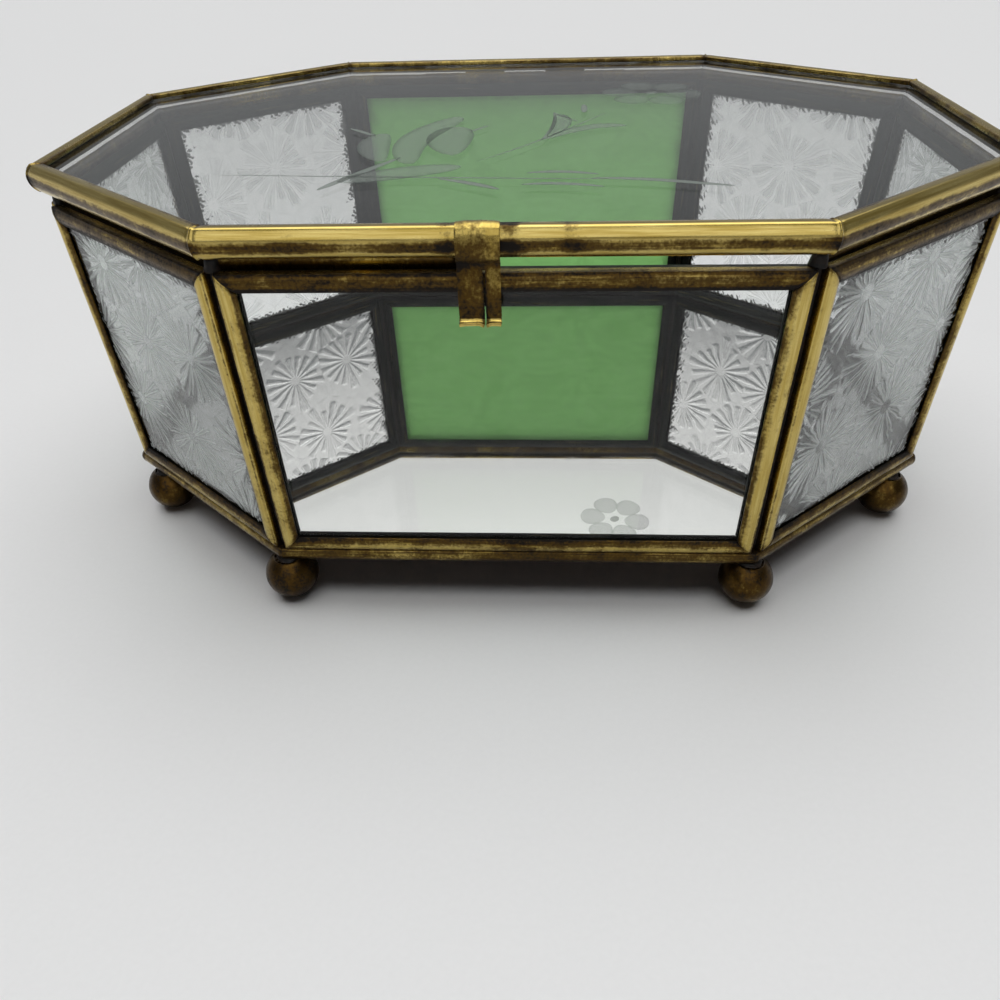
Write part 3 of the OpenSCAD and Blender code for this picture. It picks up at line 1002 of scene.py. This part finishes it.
@dataclass
class StarPane(PressedPane):
    """A pane pressed with stars: flat hearts with wedge flutes that run out to their neighbours."""

    pitch: float = 22.5 * MM
    row_pitch: float = 0.87
    jitter: float = 0.16
    wobble: float = 0.004
    depth: float = 0.18 * MM
    heart: float = 1.4 * MM
    rays: int = 16
    groove: float = 0.68
    slope: float = 0.085
    glow: float = 1.0
    stroke: float = 1.0
    seam_glow: float = 0.22
    amounts: tuple[float, float] = (0.6, 1.0)
    ends: tuple[float, float] = (8.5, 14.0)

    def relief(self, x: Array, y: Array, seed: int) -> tuple[Array, dict[str, Array]]:
        """How far the face lies below the pane's surface at x, y.

        Each point belongs to the nearest star centre of a jittered hexagonal field. Flute k
        of that star is cut in the middle of an equal share of the turn. Across the flute,
        with q from -1 to 1, the face dips as 1 - q^2, in proportion to the flute's width up
        to depth, each flute by its own amount and with its own blunt outer end.

        Returns:
            The dip, and the marks ridge (1 on the painted highlight line at a flute's edge, less where two
            stars meet) and bloom (painted light: 1 in the floor of a flute that leans to the light).
        """
        rng = np.random.default_rng(seed)
        cols, rows = int(np.ptp(x) / self.pitch) + 4, int(np.ptp(y) / (self.pitch * self.row_pitch)) + 4
        cx, cy = np.meshgrid(np.arange(cols) - 1.0, np.arange(rows) - 1.0, indexing="ij")
        spread = -self.jitter, self.jitter, cx.shape
        cx = (cx + 0.5 * (cy % 2)) * self.pitch + rng.uniform(*spread) * self.pitch + x.min()
        cy = cy * self.pitch * self.row_pitch + rng.uniform(*spread) * self.pitch + y.min()
        centres = np.stack([cx.ravel(), cy.ravel()], 1)
        gap = (x[..., None] - centres[:, 0]) ** 2 + (y[..., None] - centres[:, 1]) ** 2
        near = np.sort(np.sqrt(gap), -1)[..., :2]
        star = gap.argmin(-1)
        reach, seam = near[..., 0], (near[..., 1] - near[..., 0]) / 2
        angle = np.arctan2(y - centres[star, 1], x - centres[star, 0])
        turned = angle / TURN + rng.uniform(size=len(centres))[star]
        turned = turned + self.wobble * ripple(np.stack([x, y], -1), seed + 3, 6 * MM)
        place = turned % 1 * self.rays
        flute = place.astype(int) % self.rays
        off = np.abs(2 * (place - np.floor(place)) - 1)
        width = TURN * reach / self.rays
        own = rng.uniform(*self.amounts, (len(centres), self.rays))[star, flute]
        end = rng.uniform(*self.ends, (len(centres), self.rays))[star, flute] * MM
        blunt = 1 - 0.9 * ease(reach, end * 0.93, end * 1.05)
        grown = ease(reach, self.heart, self.heart * 1.6)
        hollow = np.clip(1 - (off / self.groove) ** 2, 0, 1)
        dip = np.minimum(self.slope * width, self.depth) * own * hollow * grown * blunt
        # A painted highlight line along each flute's edge, and a fainter one where two stars meet.
        line = self.stroke * (0.10 * MM + 0.007 * reach)
        ridge = own * hump((off - self.groove) * width / 2, line) * grown
        ridge = ridge * (1 - ease(reach, end * 0.9, end * 1.1))
        ridge = np.maximum(ridge, self.seam_glow * hump(seam, 0.16 * MM))
        # Flutes that point down, whose floors face the overhead light, get more painted light.
        lean = 0.60 + 0.40 * ease(-np.sin(angle), -0.5, 0.7)
        bloom = self.glow * lean * hollow**1.5 * own**2 * blunt * ease(reach, self.heart, end * 0.7)
        return dip, {"ridge": ridge, "bloom": bloom}


@dataclass
class WallRing:
    """Eight glazed walls and the solder that joins them."""

    walls: list[Wall]
    plan: Plan
    finishes: Finishes
    near_star: StarPane = field(
        default_factory=lambda: StarPane(depth=0.05 * MM, slope=0.022, glow=0.12, stroke=1.9))
    far_star: StarPane = field(default_factory=lambda: StarPane(pitch=25 * MM, depth=0.26 * MM, slope=0.12))
    hammered: PressedPane = field(default_factory=lambda: PressedPane(step=0.35 * MM))
    thick: float = 3.6 * MM
    seam_in: float = 3.9 * MM
    least_rest: float = 1 * MM
    rail_seed: int = 100
    pane_seed: int = 500
    seam_seed: int = 40
    rest_seed: int = 60

    def channels(self) -> None:
        """Folds a channel round each wall."""
        # Per side, bottom, right, top, left: aged is darkest on top; the flank darkens the web at the bottom
        # and in the corner gaps (solder and painted shade) and lightens the top web as a painted highlight.
        strip = Channel(self.thick, self.near_star.thick, leg_bulge=2.5 * MM, swell=0.4 * MM, shoulder=0.4,
                        aged=(0.55, 0.14, 1.1, 0.14), flank=(0.9, 1.6, -0.5, 1.6), tin_from=-0.6 * MM)
        for i, wall in enumerate(self.walls):
            corners = np.array([[0, 0], [wall.width, 0], [wall.width, wall.height], [0, wall.height]])
            rail = strip.folded(corners, wall.place, self.rail_seed + 10 * i)
            put(f"{wall.face}_rail", rail, Body.BOX, self.finishes.brass,
                [f"{wall.face}_channel"])

    def panes(self) -> None:
        """Clear glass in front, green behind and star glass in the other six."""
        dress("front_pane", self.finishes.clear)
        near = "star", self.near_star, Slot.PATTERN, self.finishes.pressed
        far = "star", self.far_star, Slot.PATTERN, self.finishes.far_pressed
        green = "green", self.hammered, Slot.GREEN, self.finishes.green
        glazing = {"rear": green, "rear_left": far, "rear_right": far}
        for i, wall in enumerate(self.walls[1:], 1):
            word, kind, slot, finish = glazing.get(wall.face, near)
            glass = kind.pane(wall, self.pane_seed + i)
            pane = put(f"{wall.face}_{word}_pane", glass, Body.BOX, finish, [f"{wall.face}_pane"])
            smooth = np.ones(len(pane.data.polygons), bool)
            smooth[-1] = False  # the flat face behind
            pane.data.polygons.foreach_set("use_smooth", smooth)

    def seams(self) -> None:
        """Runs solder down each corner, with a rest for the lid on all but the rear two."""
        inner = self.plan.outline(self.seam_in)
        wall_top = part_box("front_channel")[1].z
        for i in range(CORNERS):
            low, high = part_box(f"corner_seam_{i + 1}")
            seam = SolderSeam(inner[i], self.walls[i - 1].place, self.walls[i].place, low.z, wall_top)
            parts = [seam.column(self.seam_seed + i)]
            if high.z > wall_top + self.least_rest:
                parts.append(seam.rest(high.z - wall_top, self.rest_seed + i))
            put(f"solder_seam_{i + 1}", Surface.joined(parts), Body.BOX, self.finishes.solder,
                [f"corner_seam_{i + 1}"])

    def build(self) -> None:
        """Makes the whole ring."""
        self.channels()
        self.panes()
        self.seams()


@dataclass
class LidLedge:
    """A thin ledge along the walls' tops that closes the gap under the lid, all but at the front right."""

    plan: Plan
    finishes: Finishes
    inset: float = 3.2 * MM
    half: float = 0.4 * MM
    full: float = 2.75 * MM
    tall: tuple[float, ...] = (0.35, 1, 1, 1, 1, 1, 1, 1, 0.85)
    sunk: float = 0.05 * MM
    crown: float = 0.35 * MM
    wave: float = 0.05 * MM
    age: float = 1.1
    stations: int = 320
    seed: int = 77

    def build(self) -> None:
        """Carries a round-topped strip over seven walls and half of the front.

        The strip's section stands on the wall's top; its height runs straight from one
        corner's to the next.
        """
        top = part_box("front_channel")[1].z
        c = self.plan.outline(self.inset)
        stop = np.array([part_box("clasp")[0].x, c[0][1]])
        knots = np.concatenate([c[1:], c[:1], stop[None]])
        reach = np.concatenate([[0], np.cumsum(np.linalg.norm(np.diff(knots, axis=0), axis=1))])
        run = np.unique(np.concatenate([np.linspace(0, reach[-1], self.stations), reach]))[:, None]
        inner = moved_in(c, self.half) - c
        inner = np.concatenate([inner[1:], inner[:1], [[0, self.half]]])
        tall = np.array(self.tall)[:, None] * self.full
        line, side, high = (np.stack([np.interp(run[:, 0], reach, v) for v in a.T], -1)
                            for a in (knots, inner, tall))
        a = np.linspace(0, math.pi, 9)
        across = np.concatenate([[1], np.cos(a), [-1]])
        lift = np.concatenate([[-self.sunk], -(1 - np.sin(a)) * self.crown, [-self.sunk]])
        flat = line[:, None] + side[:, None] * across[None, :, None]
        z = np.broadcast_to(lift[None], flat.shape[:2]).copy()
        z[:, 1:-1] += high + self.wave * ripple(run, self.seed, 20 * MM)[:, None]
        strip = capped_tube(raised(flat, top + z))
        # Dark all over: patina, and painted shade for the gap under the lid.
        strip.marks = {"aged": np.full(len(strip.points), self.age)}
        strip.uv = np.concatenate([layered(run, lift[None]).reshape(-1, 2), np.zeros((2, 2))]) / MM
        put("lid_ledge", strip, Body.BOX, self.finishes.brass)


@dataclass
class SolderSeam:
    """Solder run into the gap between the ends of two walls."""

    corner: Array
    before: Place
    after: Place
    low: float
    top: float
    back_in: float = 0.35 * MM
    far: float = 1.75 * MM
    half_gap: float = 0.1 * MM
    bead: float = 0.28 * MM
    sunk: float = 0.12 * MM
    around: int = 24
    stations: int = 70
    rest_rim: float = 1.65 * MM
    rest_taper: float = 0.5
    rest_points: int = 28
    root: float = 0.05 * MM

    def column(self, seed: int) -> Surface:
        """A lumpy bar: the gap's four-cornered section, its outer face sunk and beaded up the seam.

        Points run round the section by t from 0 to 4; the outer face is at t = 1.5.
        """
        p = self.corner - self.before.across[:2] * self.half_gap
        q = self.corner + self.after.across[:2] * self.half_gap
        a, b = self.before.out[:2], self.after.out[:2]
        corners = np.array([p + a * self.back_in, p + a * self.far, q + b * self.far, q + b * self.back_in])
        t = np.arange(self.around) / self.around * 4
        k = t.astype(int)
        s = (t - k)[:, None]
        loop = corners[k] * (1 - s) + corners[(k + 1) % 4] * s
        outer = hump(t - 1.5, 0.45) + 0.6 * hump(t - 3.5, 0.45)
        z = np.linspace(self.low, self.top, self.stations)[:, None]
        way = (a + b) / np.linalg.norm(a + b)
        lump = ripple(layered(z, t[None] * MM), seed, 7 * MM, 4) * self.bead - self.sunk
        sign = np.where(np.abs(t - 1.5) < 1, 1.0, -1.0)
        flat = loop[None] + (outer * sign)[None, :, None] * lump[..., None] * way
        return capped_tube(raised(flat, z))

    def rest(self, height: float, seed: int) -> Surface:
        """A nub turned about the middle of the gap, its radius falling from 1.65 mm, with a round top."""
        s = np.linspace(0, 1, 14)
        radius = (self.rest_rim / MM - self.rest_taper * s) * MM
        radius = radius * np.sqrt(np.clip(1 - ((s - 0.7) / 0.32).clip(0) ** 2, 0.02, 1))
        lump = 1 + 0.10 * ripple(turned(radius, s * height, self.rest_points), seed, 2.5 * MM)
        middle = self.corner + (self.before.out[:2] + self.after.out[:2]) * (self.back_in + self.far) / 4
        z = self.top - self.root + s * (height + self.root)
        return capped_tube(turned(radius[:, None] * lump, z, self.rest_points, middle))


@dataclass
class BallFeet:
    """Eight brass balls, each soldered under the base."""

    finishes: Finishes
    flat_foot: float = 2.2 * MM
    dent: float = 0.05 * MM
    neck: float = 2.55
    flare: float = 0.75
    overlap: float = 0.28 * MM
    ball_points: int = 72
    collar_points: int = 40
    ball_seed: int = 200
    collar_seed: int = 230

    def ball(self, low: Array, high: Array, seed: int) -> Surface:
        """A ball cut flat above and below: z and radius follow the circle between the two flats."""
        r = (high[0] - low[0]) / 2
        middle = low[2] + math.sqrt(r * r - self.flat_foot**2)
        start, end = (math.asin(np.clip((z - middle) / r, -1, 1)) for z in (low[2], high[2]))
        a = np.concatenate([[start, start], np.linspace(start, end, 40), [end, end]])
        shrink, curved = np.ones(len(a)), np.ones(len(a))
        shrink[[0, -1]] = 0.5
        curved[:2] = curved[-2:] = 0
        radius, z = r * np.cos(a) * shrink, r * np.sin(a)
        dent = ripple(turned(radius, z, self.ball_points), seed, 8 * MM) * self.dent - self.dent
        radius = radius[:, None] * (1 + dent * curved[:, None] / r)
        return capped_tube(turned(radius, z + middle, self.ball_points, (low[:2] + high[:2]) / 2))

    def collar(self, low: Array, high: Array, top: float, seed: int) -> Surface:
        """Solder round a ball's neck: a short lumpy column that spreads where it meets the ball."""
        s = np.linspace(0, 1, 9)
        radius = (self.neck + self.flare * (1 - s) ** 2) * MM
        z = high[2] - self.overlap + s * (top - high[2] + self.overlap)
        lump = 1 + 0.09 * ripple(turned(radius, z, self.collar_points), seed, 3 * MM)
        return capped_tube(turned(radius[:, None] * lump, z, self.collar_points, (low[:2] + high[:2]) / 2))

    def build(self) -> None:
        """Makes the feet and their collars."""
        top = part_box("base_channel")[0].z
        necks = []
        for i in range(CORNERS):
            low, high = (np.array(v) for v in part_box(f"foot_{i + 1}"))
            ball = self.ball(low, high, self.ball_seed + i)
            put(f"ball_foot_{i + 1}", ball, Body.BOX, self.finishes.dull, [f"foot_{i + 1}"])
            necks.append(self.collar(low, high, top, self.collar_seed + i))
        put("foot_solder", Surface.joined(necks), Body.BOX, self.finishes.solder,
            ["foot_collars"])


@dataclass(frozen=True)
class Cut:
    """One wheel cut, in mm: its curved centre line, half width, fullest place and share of frost."""

    line: tuple[tuple[float, float], ...]
    half: float
    fullest: float = 0.5
    frost: float = 1.0


LEAVES_AND_STEMS = (
    Cut(((32.6, 26.8), (34, 28), (35.4, 29.2)), 1.5),
    Cut(((-13.2, -25), (-17.2, -12), (-13.6, -2.4)), 5.3, 0.56),
    Cut(((-22, -31), (-28, -10), (-17, -1), (-14.6, 7)), 4.0, 0.42),
    Cut(((-28, -29), (-34, -18), (-31, -7)), 3.7, 0.55),
    Cut(((-40, -2.2), (-36.4, -5.4), (-32.6, -9.4)), 0.7),
    Cut(((-11.4, -7), (-9, -4), (-7, -1.6)), 0.4),
    Cut(((-38, -46.8), (-33, -38.4), (-24.5, -26)), 1.0),
    Cut(((-35, -42), (-26, -37), (-11, -33)), 3.8, 0.55),
    Cut(((-15, -40.6), (-8, -43.4), (-2.6, -47.6)), 0.85),
    Cut(((-62.6, -36.3), (-32, -38.8), (-2.7, -41), (19, -42.2)), 0.3),
    Cut(((15, -41.6), (26, -41.6), (34, -45), (42, -47.2)), 0.85),
    Cut(((2.4, -37.9), (9, -36), (17, -39.2)), 0.75),
    Cut(((1.6, -44.9), (9, -43.4), (17.6, -46.8)), 0.75),
    Cut(((5.3, -14.6), (9.4, -2), (8.3, 9.6)), 0.5),
    Cut(((6.6, -12), (12, -1), (9.4, 8)), 2.3, 0.6),
    Cut(((8.2, 9.6), (10.4, 5.6), (14, 0.8)), 0.4),
    Cut(((5.6, -14.8), (12, -6.2), (18, -1.2), (25.2, -3.8)), 1.9, 0.6),
    Cut(((-8, -29.6), (2, -20), (12, -5), (21.4, 9)), 0.22),
    Cut(((16, 17), (15.9, 13), (15.7, 9)), 0.8),
)


@dataclass
class CutSpray:
    """A floral spray ground into the lid: a six-petalled flower, a bud, leaves and long stems."""

    lift: float = 0.02 * MM
    deep: float = 0.35 * MM
    steep: float = 0.3
    thin: float = 1.2
    flower: tuple[float, float] = (34, 28)
    petal: tuple[float, float, float] = (3.6, 8.5, 13)

    def cuts(self) -> list[Cut]:
        """Every cut: six petals, then the rest."""
        found = []
        x, y = self.flower
        for k in range(6):
            a = math.radians(60 * k - 10)
            line = tuple((x + r * math.cos(a), y + r * math.sin(a)) for r in self.petal)
            found.append(Cut(line, 4.6, 0.56, 0.5))
        return [*found, *LEAVES_AND_STEMS]

    def body(self, cut: Cut, top: float) -> Surface:
        """A cut as a thin lens let into the glass.

        The centre line is a Bezier curve. The half width follows sqrt(4 q (1 - q)), with q
        bent so that it is fullest at cut.fullest. Across the cut the floor sinks as a half
        ellipse and the mouth is flat.
        """
        ctrl = np.array(cut.line) * MM
        s = np.linspace(0.004, 0.996, 26)
        n = len(ctrl) - 1
        weights = np.stack([math.comb(n, k) * s**k * (1 - s) ** (n - k) for k in range(n + 1)], 1)
        line = weights @ ctrl
        way = unit(np.gradient(line, axis=0))
        side = np.stack([-way[:, 1], way[:, 0]], 1)
        q = s ** (math.log(0.5) / math.log(cut.fullest))
        half = cut.half * MM * np.sqrt(4 * q * (1 - q))
        across, under = circle(28)[0].T
        under = np.minimum(under, 0)
        flat = line[:, None] + side[:, None] * (half[:, None] * across[None])[..., None]
        depth = min(self.deep, cut.half * MM * self.steep) * (half / half.max())[:, None] * under[None]
        z = np.where(under[None] < 0, top + depth, top + self.lift)
        skin = capped_tube(raised(flat, z))
        rim = np.broadcast_to(np.abs(across)[None], z.shape).ravel()
        even = np.ones(len(skin.points))
        skin.marks = {"rim": np.append(rim, [1.0, 1.0]), "fine": even * (cut.half < self.thin),
                      "frost": even * cut.frost}
        return skin


@dataclass
class HingedLid:
    """The lid: clear glass with its spray in a rounded channel."""

    plan: Plan
    finishes: Finishes
    over: float = 1.1 * MM
    glass: float = 3 * MM
    seed: int = 31
    spray: CutSpray = field(default_factory=CutSpray)

    def build(self) -> None:
        """Makes the channel and the cuts, and dresses the pane."""
        low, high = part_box("lid_channel")
        # band and underline paint the rail's dark reflection and its lower shade line; shoulder -0.1 lightens
        # the upper corner as a painted highlight.
        strip = Channel(high.z - low.z, self.glass, leg_bulge=7 * MM, web_bulge=3.6 * MM,
                        fold=0.16 * MM, aged=(-0.05,), painted_reflection_band=1.2, shoulder=-0.1,
                        stains=(Stain(0, 55.6 * MM, 2.2 * MM, 1.7), Stain(0, 44.5 * MM, 1.6 * MM, 0.7)))
        rail = strip.folded(self.plan.outline(-self.over), Place.level(low.z, high.z), self.seed)
        put("lid_rail", rail, Body.LID, self.finishes.brass, ["lid_channel"])
        dress("lid_pane", self.finishes.lid)
        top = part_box("lid_pane")[1].z
        cuts = Surface.joined([self.spray.body(cut, top) for cut in self.spray.cuts()])
        put("lid_spray", cuts, Body.LID, self.finishes.frost)


@dataclass
class Clasp:
    """A bent strip that hooks over the lid's rail, its tongue slit into two fingers."""

    finishes: Finishes
    thick: float = 0.55 * MM
    rounding: float = 0.12 * MM
    slot_centre: float = -4.3 * MM
    slot_half: float = 0.34 * MM
    slot_top: float = 4.3 * MM
    columns: tuple[int, int] = (14, 10)
    rolled: float = 0.16 * MM
    cheek: float = 0.34 * MM
    dents: float = 0.06 * MM
    bead: float = 0.42
    bead_lump: float = 0.13
    bead_tall: float = 1.5
    bead_in: float = 0.3 * MM
    bead_at: tuple[float, float] = (0.52 * MM, -3.15 * MM)
    strip_seed: int = 91
    bead_seed: int = 95
    path: tuple[tuple[float, float], ...] = (
        (1.75, 2.95), (1.2, 3.02), (0.5, 2.86), (-0.15, 2.25), (-0.5, 1.25), (-0.64, 0.0), (-0.55, -1.2),
        (-0.18, -2.2), (0.26, -2.85), (0.34, -3.5), (0.1, -4.6), (-0.12, -6.2), (-0.16, -8.2), (-0.02, -10.4),
        (0.2, -12.4), (0.14, -13.3), (-0.25, -13.95), (-0.95, -14.35), (-1.4, -14.3))

    def middle_line(self) -> Array:
        """The path's points, y and z in mm against the rail, joined by a smooth cubic through each."""
        ctrl = np.array(self.path) * MM
        last = len(ctrl) - 1
        t = np.linspace(0, last, 120)
        k = np.clip(t.astype(int), 0, last - 1)
        q = (t - k)[:, None]
        p0, p1, p2, p3 = (ctrl[np.clip(k + d, 0, last)] for d in (-1, 0, 1, 2))
        bent, turned = 2 * p0 - 5 * p1 + 4 * p2 - p3, 3 * p1 - p0 - 3 * p2 + p3
        return 0.5 * (2 * p1 + (p2 - p0) * q + bent * q**2 + turned * q**3)

    def strip(self, rail_front: float, rail_middle: float, low: float, high: float) -> Surface:
        """The strip's outer face.

        It runs straight across the line, its long edges rolled in by a sixth power, and the
        fingers' cheeks rounded in beside the slot.

        Args:
            rail_front: y of the rail's front.
            rail_middle: z of the rail's middle.
            low: x of the strip's left edge.
            high: x of its right edge.

        Returns:
            The open face, with the mark aged.
        """
        line = self.middle_line()
        way = unit(np.gradient(line, axis=0))
        out = np.stack([way[:, 1], -way[:, 0]], 1)
        a, b = self.slot_centre - self.slot_half, self.slot_centre + self.slot_half
        x = np.concatenate([np.linspace(low, a, self.columns[0]), np.linspace(b, high, self.columns[1])])
        side = np.abs(2 * (x - low) / (high - low) - 1)
        tongue = ease(-line[:, 1], 3.6 * MM, 5.4 * MM)[:, None]
        cheek = hump(np.minimum(np.abs(x - a), np.abs(x - b)), 0.42 * MM)
        roll = -self.rolled * side**6 - self.cheek * cheek * tongue
        lift = roll + self.dents * ripple(layered(x[None], line[:, 1:2]), self.strip_seed, 4 * MM)
        y = rail_front + line[:, :1] + out[:, :1] * lift
        z = rail_middle + line[:, 1:2] + out[:, 1:2] * lift
        quads = grid_faces(len(line), len(x))
        row, col = quads[:, 0] // len(x), quads[:, 0] % len(x)
        quads = quads[~((col == self.columns[0] - 1) & (line[row, 1] < -self.slot_top))]
        drop = -line[:, 1:2] / MM
        # Over an even patina: lighter at the bend over the rail and at the curl as painted highlights, darker
        # down the front and the tongue, at the solder line under the rail and on the cheeks beside the slot
        # as painted shade.
        aged = 0.30 + 0.62 * ease(drop, -2.5, 0.5) + 0.7 * hump(drop - 3.4, 0.8)
        aged = aged + 0.2 * ease(drop, 6.5, 9.0) - 1.2 * ease(drop, 13.3, 13.9) + 0.5 * cheek * tongue
        return Surface(layered(x[None], y, z).reshape(-1, 3), [quads], {"aged": aged.ravel()})

    def beads(self, rail_front: float, rail_middle: float, low: float, high: float) -> Surface:
        """The solder line under the rail: a lumpy bead carried across the strip; see strip for the Args."""
        s = np.linspace(0, 1, 36)[:, None]
        a = np.arange(14)[None] / 14 * TURN
        grid = layered(low + self.bead_in + (high - low - 2 * self.bead_in) * s, a * MM)
        lumps = self.bead + self.bead_lump * ripple(grid, self.bead_seed, 2.4 * MM)
        radius = lumps * MM * np.sin(math.pi * (0.04 + 0.92 * s)) ** 0.4
        y = rail_front + self.bead_at[0] + radius * np.cos(a)
        z = rail_middle + self.bead_at[1] + self.bead_tall * radius * np.sin(a)
        return capped_tube(layered(grid[..., 0], y, z))

    def build(self) -> None:
        """Makes the strip with its thickness and rounded edges, and its solder."""
        rail_low, rail_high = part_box("lid_channel")
        low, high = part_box("clasp")
        at = rail_low.y, (rail_low.z + rail_high.z) / 2, low.x, high.x
        strip = put("clasp_strip", self.strip(*at), Body.LID, self.finishes.clasp, ["clasp"])
        wall = strip.modifiers.new("thickness", "SOLIDIFY")
        wall.thickness, wall.offset = self.thick, -1.0
        edge = strip.modifiers.new("rounded edges", "BEVEL")
        edge.width, edge.segments, edge.limit_method = self.rounding, 2, "ANGLE"
        put("clasp_solder", self.beads(*at), Body.LID, self.finishes.solder)


@dataclass
class Hinge:
    """The knuckles and their pin, inside the gap under the lid."""

    finishes: Finishes

    def build(self) -> None:
        """Dresses the hinge's pieces."""
        for node in ("box_knuckles", "lid_knuckles", "hinge_pin"):
            dress(node, self.finishes.clasp)


# ---------------------------------------------------------------- studio


def stand(name: str, data: bpy.types.ID, axes: Sequence[Array], at: Sequence[float]) -> bpy.types.Object:
    """Puts a camera or a lamp at a point, its own x, y and z along three directions."""
    item = bpy.data.objects.new(name, data)
    rows = [[*row, e] for row, e in zip(np.stack(axes, 1), at)]
    item.matrix_world = Matrix([*rows, [0, 0, 0, 1]])
    bpy.context.scene.collection.objects.link(item)
    return item


@dataclass(frozen=True)
class Studio:
    """A pale table, a soft overhead light, a reflector in front and a camera."""

    eye: tuple[float, float, float] = (5.73 * MM, -200.67 * MM, 137.30 * MM)
    yaw: float = 0.06634
    pitch: float = 0.6858
    roll: float = -0.03449
    focal: float = 785.71
    frame_px: float = 1000.0
    sensor: float = 36.0
    near: float = 0.005
    table_half: float = 3.0
    table_tones: tuple[Colour, Colour] = ((0.83, 0.83, 0.835), (0.87, 0.87, 0.875))
    reflector_at: tuple[float, float, float] = (0.0, -1.15, 0.95)
    reflector_size: tuple[float, float] = (1.8, 1.3)
    reflector_watts: float = 7.4
    aim: tuple[float, float, float] = (0, 0, 0.05)
    ceiling: Colour = (1.06, 1.06, 1.055)
    overhead: Colour = (2.55, 2.56, 2.55)
    behind: Colour = (0.28, 0.28, 0.285)
    front_wall: Colour = (0.11, 0.11, 0.108)
    rear_wall: Colour = (0.25, 0.255, 0.26)
    horizon: Colour = (0.62, 0.62, 0.63)
    dim: Colour = (0.022, 0.022, 0.022)
    ceiling_edge: float = 0.80
    edge_blur: float = 0.06
    lean: float = 0.42

    def camera(self) -> None:
        """Aims the camera: forward from yaw and pitch, then rolled about its own axis."""
        sy, cy, sp, cp = math.sin(self.yaw), math.cos(self.yaw), math.sin(self.pitch), math.cos(self.pitch)
        forward = np.array([-sy * cp, cy * cp, -sp])
        level = np.array([cy, sy, 0.0])
        upright = np.cross(level, forward)
        c, s = math.cos(self.roll), math.sin(self.roll)
        lens = bpy.data.cameras.new("camera")
        lens.sensor_width = self.sensor
        lens.lens = self.focal / self.frame_px * self.sensor
        lens.clip_start = self.near
        axes = level * c + upright * s, upright * c - level * s, -forward
        bpy.context.scene.camera = stand("camera", lens, axes, self.eye)

    def table(self) -> None:
        """A wide pale table with a faint grain."""
        kit = Kit("pale table")
        grain = kit.noise(kit.place(), 900)
        shader = kit.shader(Base_Color=kit.mix(grain, *self.table_tones), Roughness=0.55,
                            Normal=kit.bump(grain, 0.1, 0.1 * MM))
        half = self.table_half
        corners = [(x * half, y * half, 0) for x, y in ((-1, -1), (1, -1), (1, 1), (-1, 1))]
        mesh = bpy.data.meshes.new("table")
        mesh.from_pydata(corners, [], [(0, 1, 2, 3)])
        mesh.materials.append(kit.surface(shader))
        table = bpy.data.objects.new("table", mesh)
        bpy.context.scene.collection.objects.link(table)

    def reflector(self) -> None:
        """A wide soft lamp aimed at the casket, that shows in polished surfaces alone."""
        light = bpy.data.lights.new("front_reflector", "AREA")
        light.shape, light.size, light.size_y = "RECTANGLE", *self.reflector_size
        light.energy = self.reflector_watts
        z = np.array(self.reflector_at) - np.array(self.aim)
        z = z / np.linalg.norm(z)
        x = np.cross([0.0, 1.0, 0.0], z)
        x = x / np.linalg.norm(x)
        lamp = stand(light.name, light, (x, np.cross(z, x), z), self.reflector_at)
        lamp.visible_camera = lamp.visible_diffuse = lamp.visible_transmission = False

    def sky(self) -> None:
        """A room lit by a wide soft ceiling that comes down low behind and stops short in front.

        With y towards the back and z up, a direction is bright where z + lean y passes a
        limit, most overhead. What the eye, metal and glass see of the walls is pale at the
        horizon and darker above; the light that they give to the table is dimmer.
        """
        kit = Kit("room", world=True)
        way = Value(kit, kit.node("ShaderNodeTexCoord").outputs["Generated"])
        y, z = kit.part(way, 1), kit.part(way, 2)
        edge, blur = self.ceiling_edge, self.edge_blur
        ceiling = (z + y * self.lean).step(edge - blur, edge + blur)
        walls = kit.mix(y.step(-0.4, 0.5), self.front_wall, self.rear_wall)
        pale = kit.mix(z.step(0.04, 0.16), self.horizon, walls)
        low = kit.mix(kit.rays("Camera", "Glossy", "Transmission"), self.dim, pale)
        high = kit.mix(z.step(0.26, 0.68), self.behind, self.ceiling)
        high = kit.mix(z.step(0.60, 0.95), high, self.overhead)
        bpy.context.scene.world = kit.surface(
            kit.node("ShaderNodeBackground", None, {"Color": kit.mix(ceiling, low, high)}))

    def build(self) -> None:
        """Sets the studio up."""
        self.camera()
        self.table()
        self.reflector()
        self.sky()
        bpy.context.scene.view_settings.view_transform = "Standard"


def main() -> None:
    """Builds the studio and the casket, piece by piece."""
    logging.basicConfig(level=logging.INFO, format="%(message)s")
    Studio().build()
    plan = Plan()
    finishes = Finishes.make()
    BaseTray(plan, finishes).build()
    WallRing(Walls(plan).all(), plan, finishes).build()
    LidLedge(plan, finishes).build()
    BallFeet(finishes).build()
    HingedLid(plan, finishes).build()
    Clasp(finishes).build()
    Hinge(finishes).build()


if __name__ == "__main__":
    main()
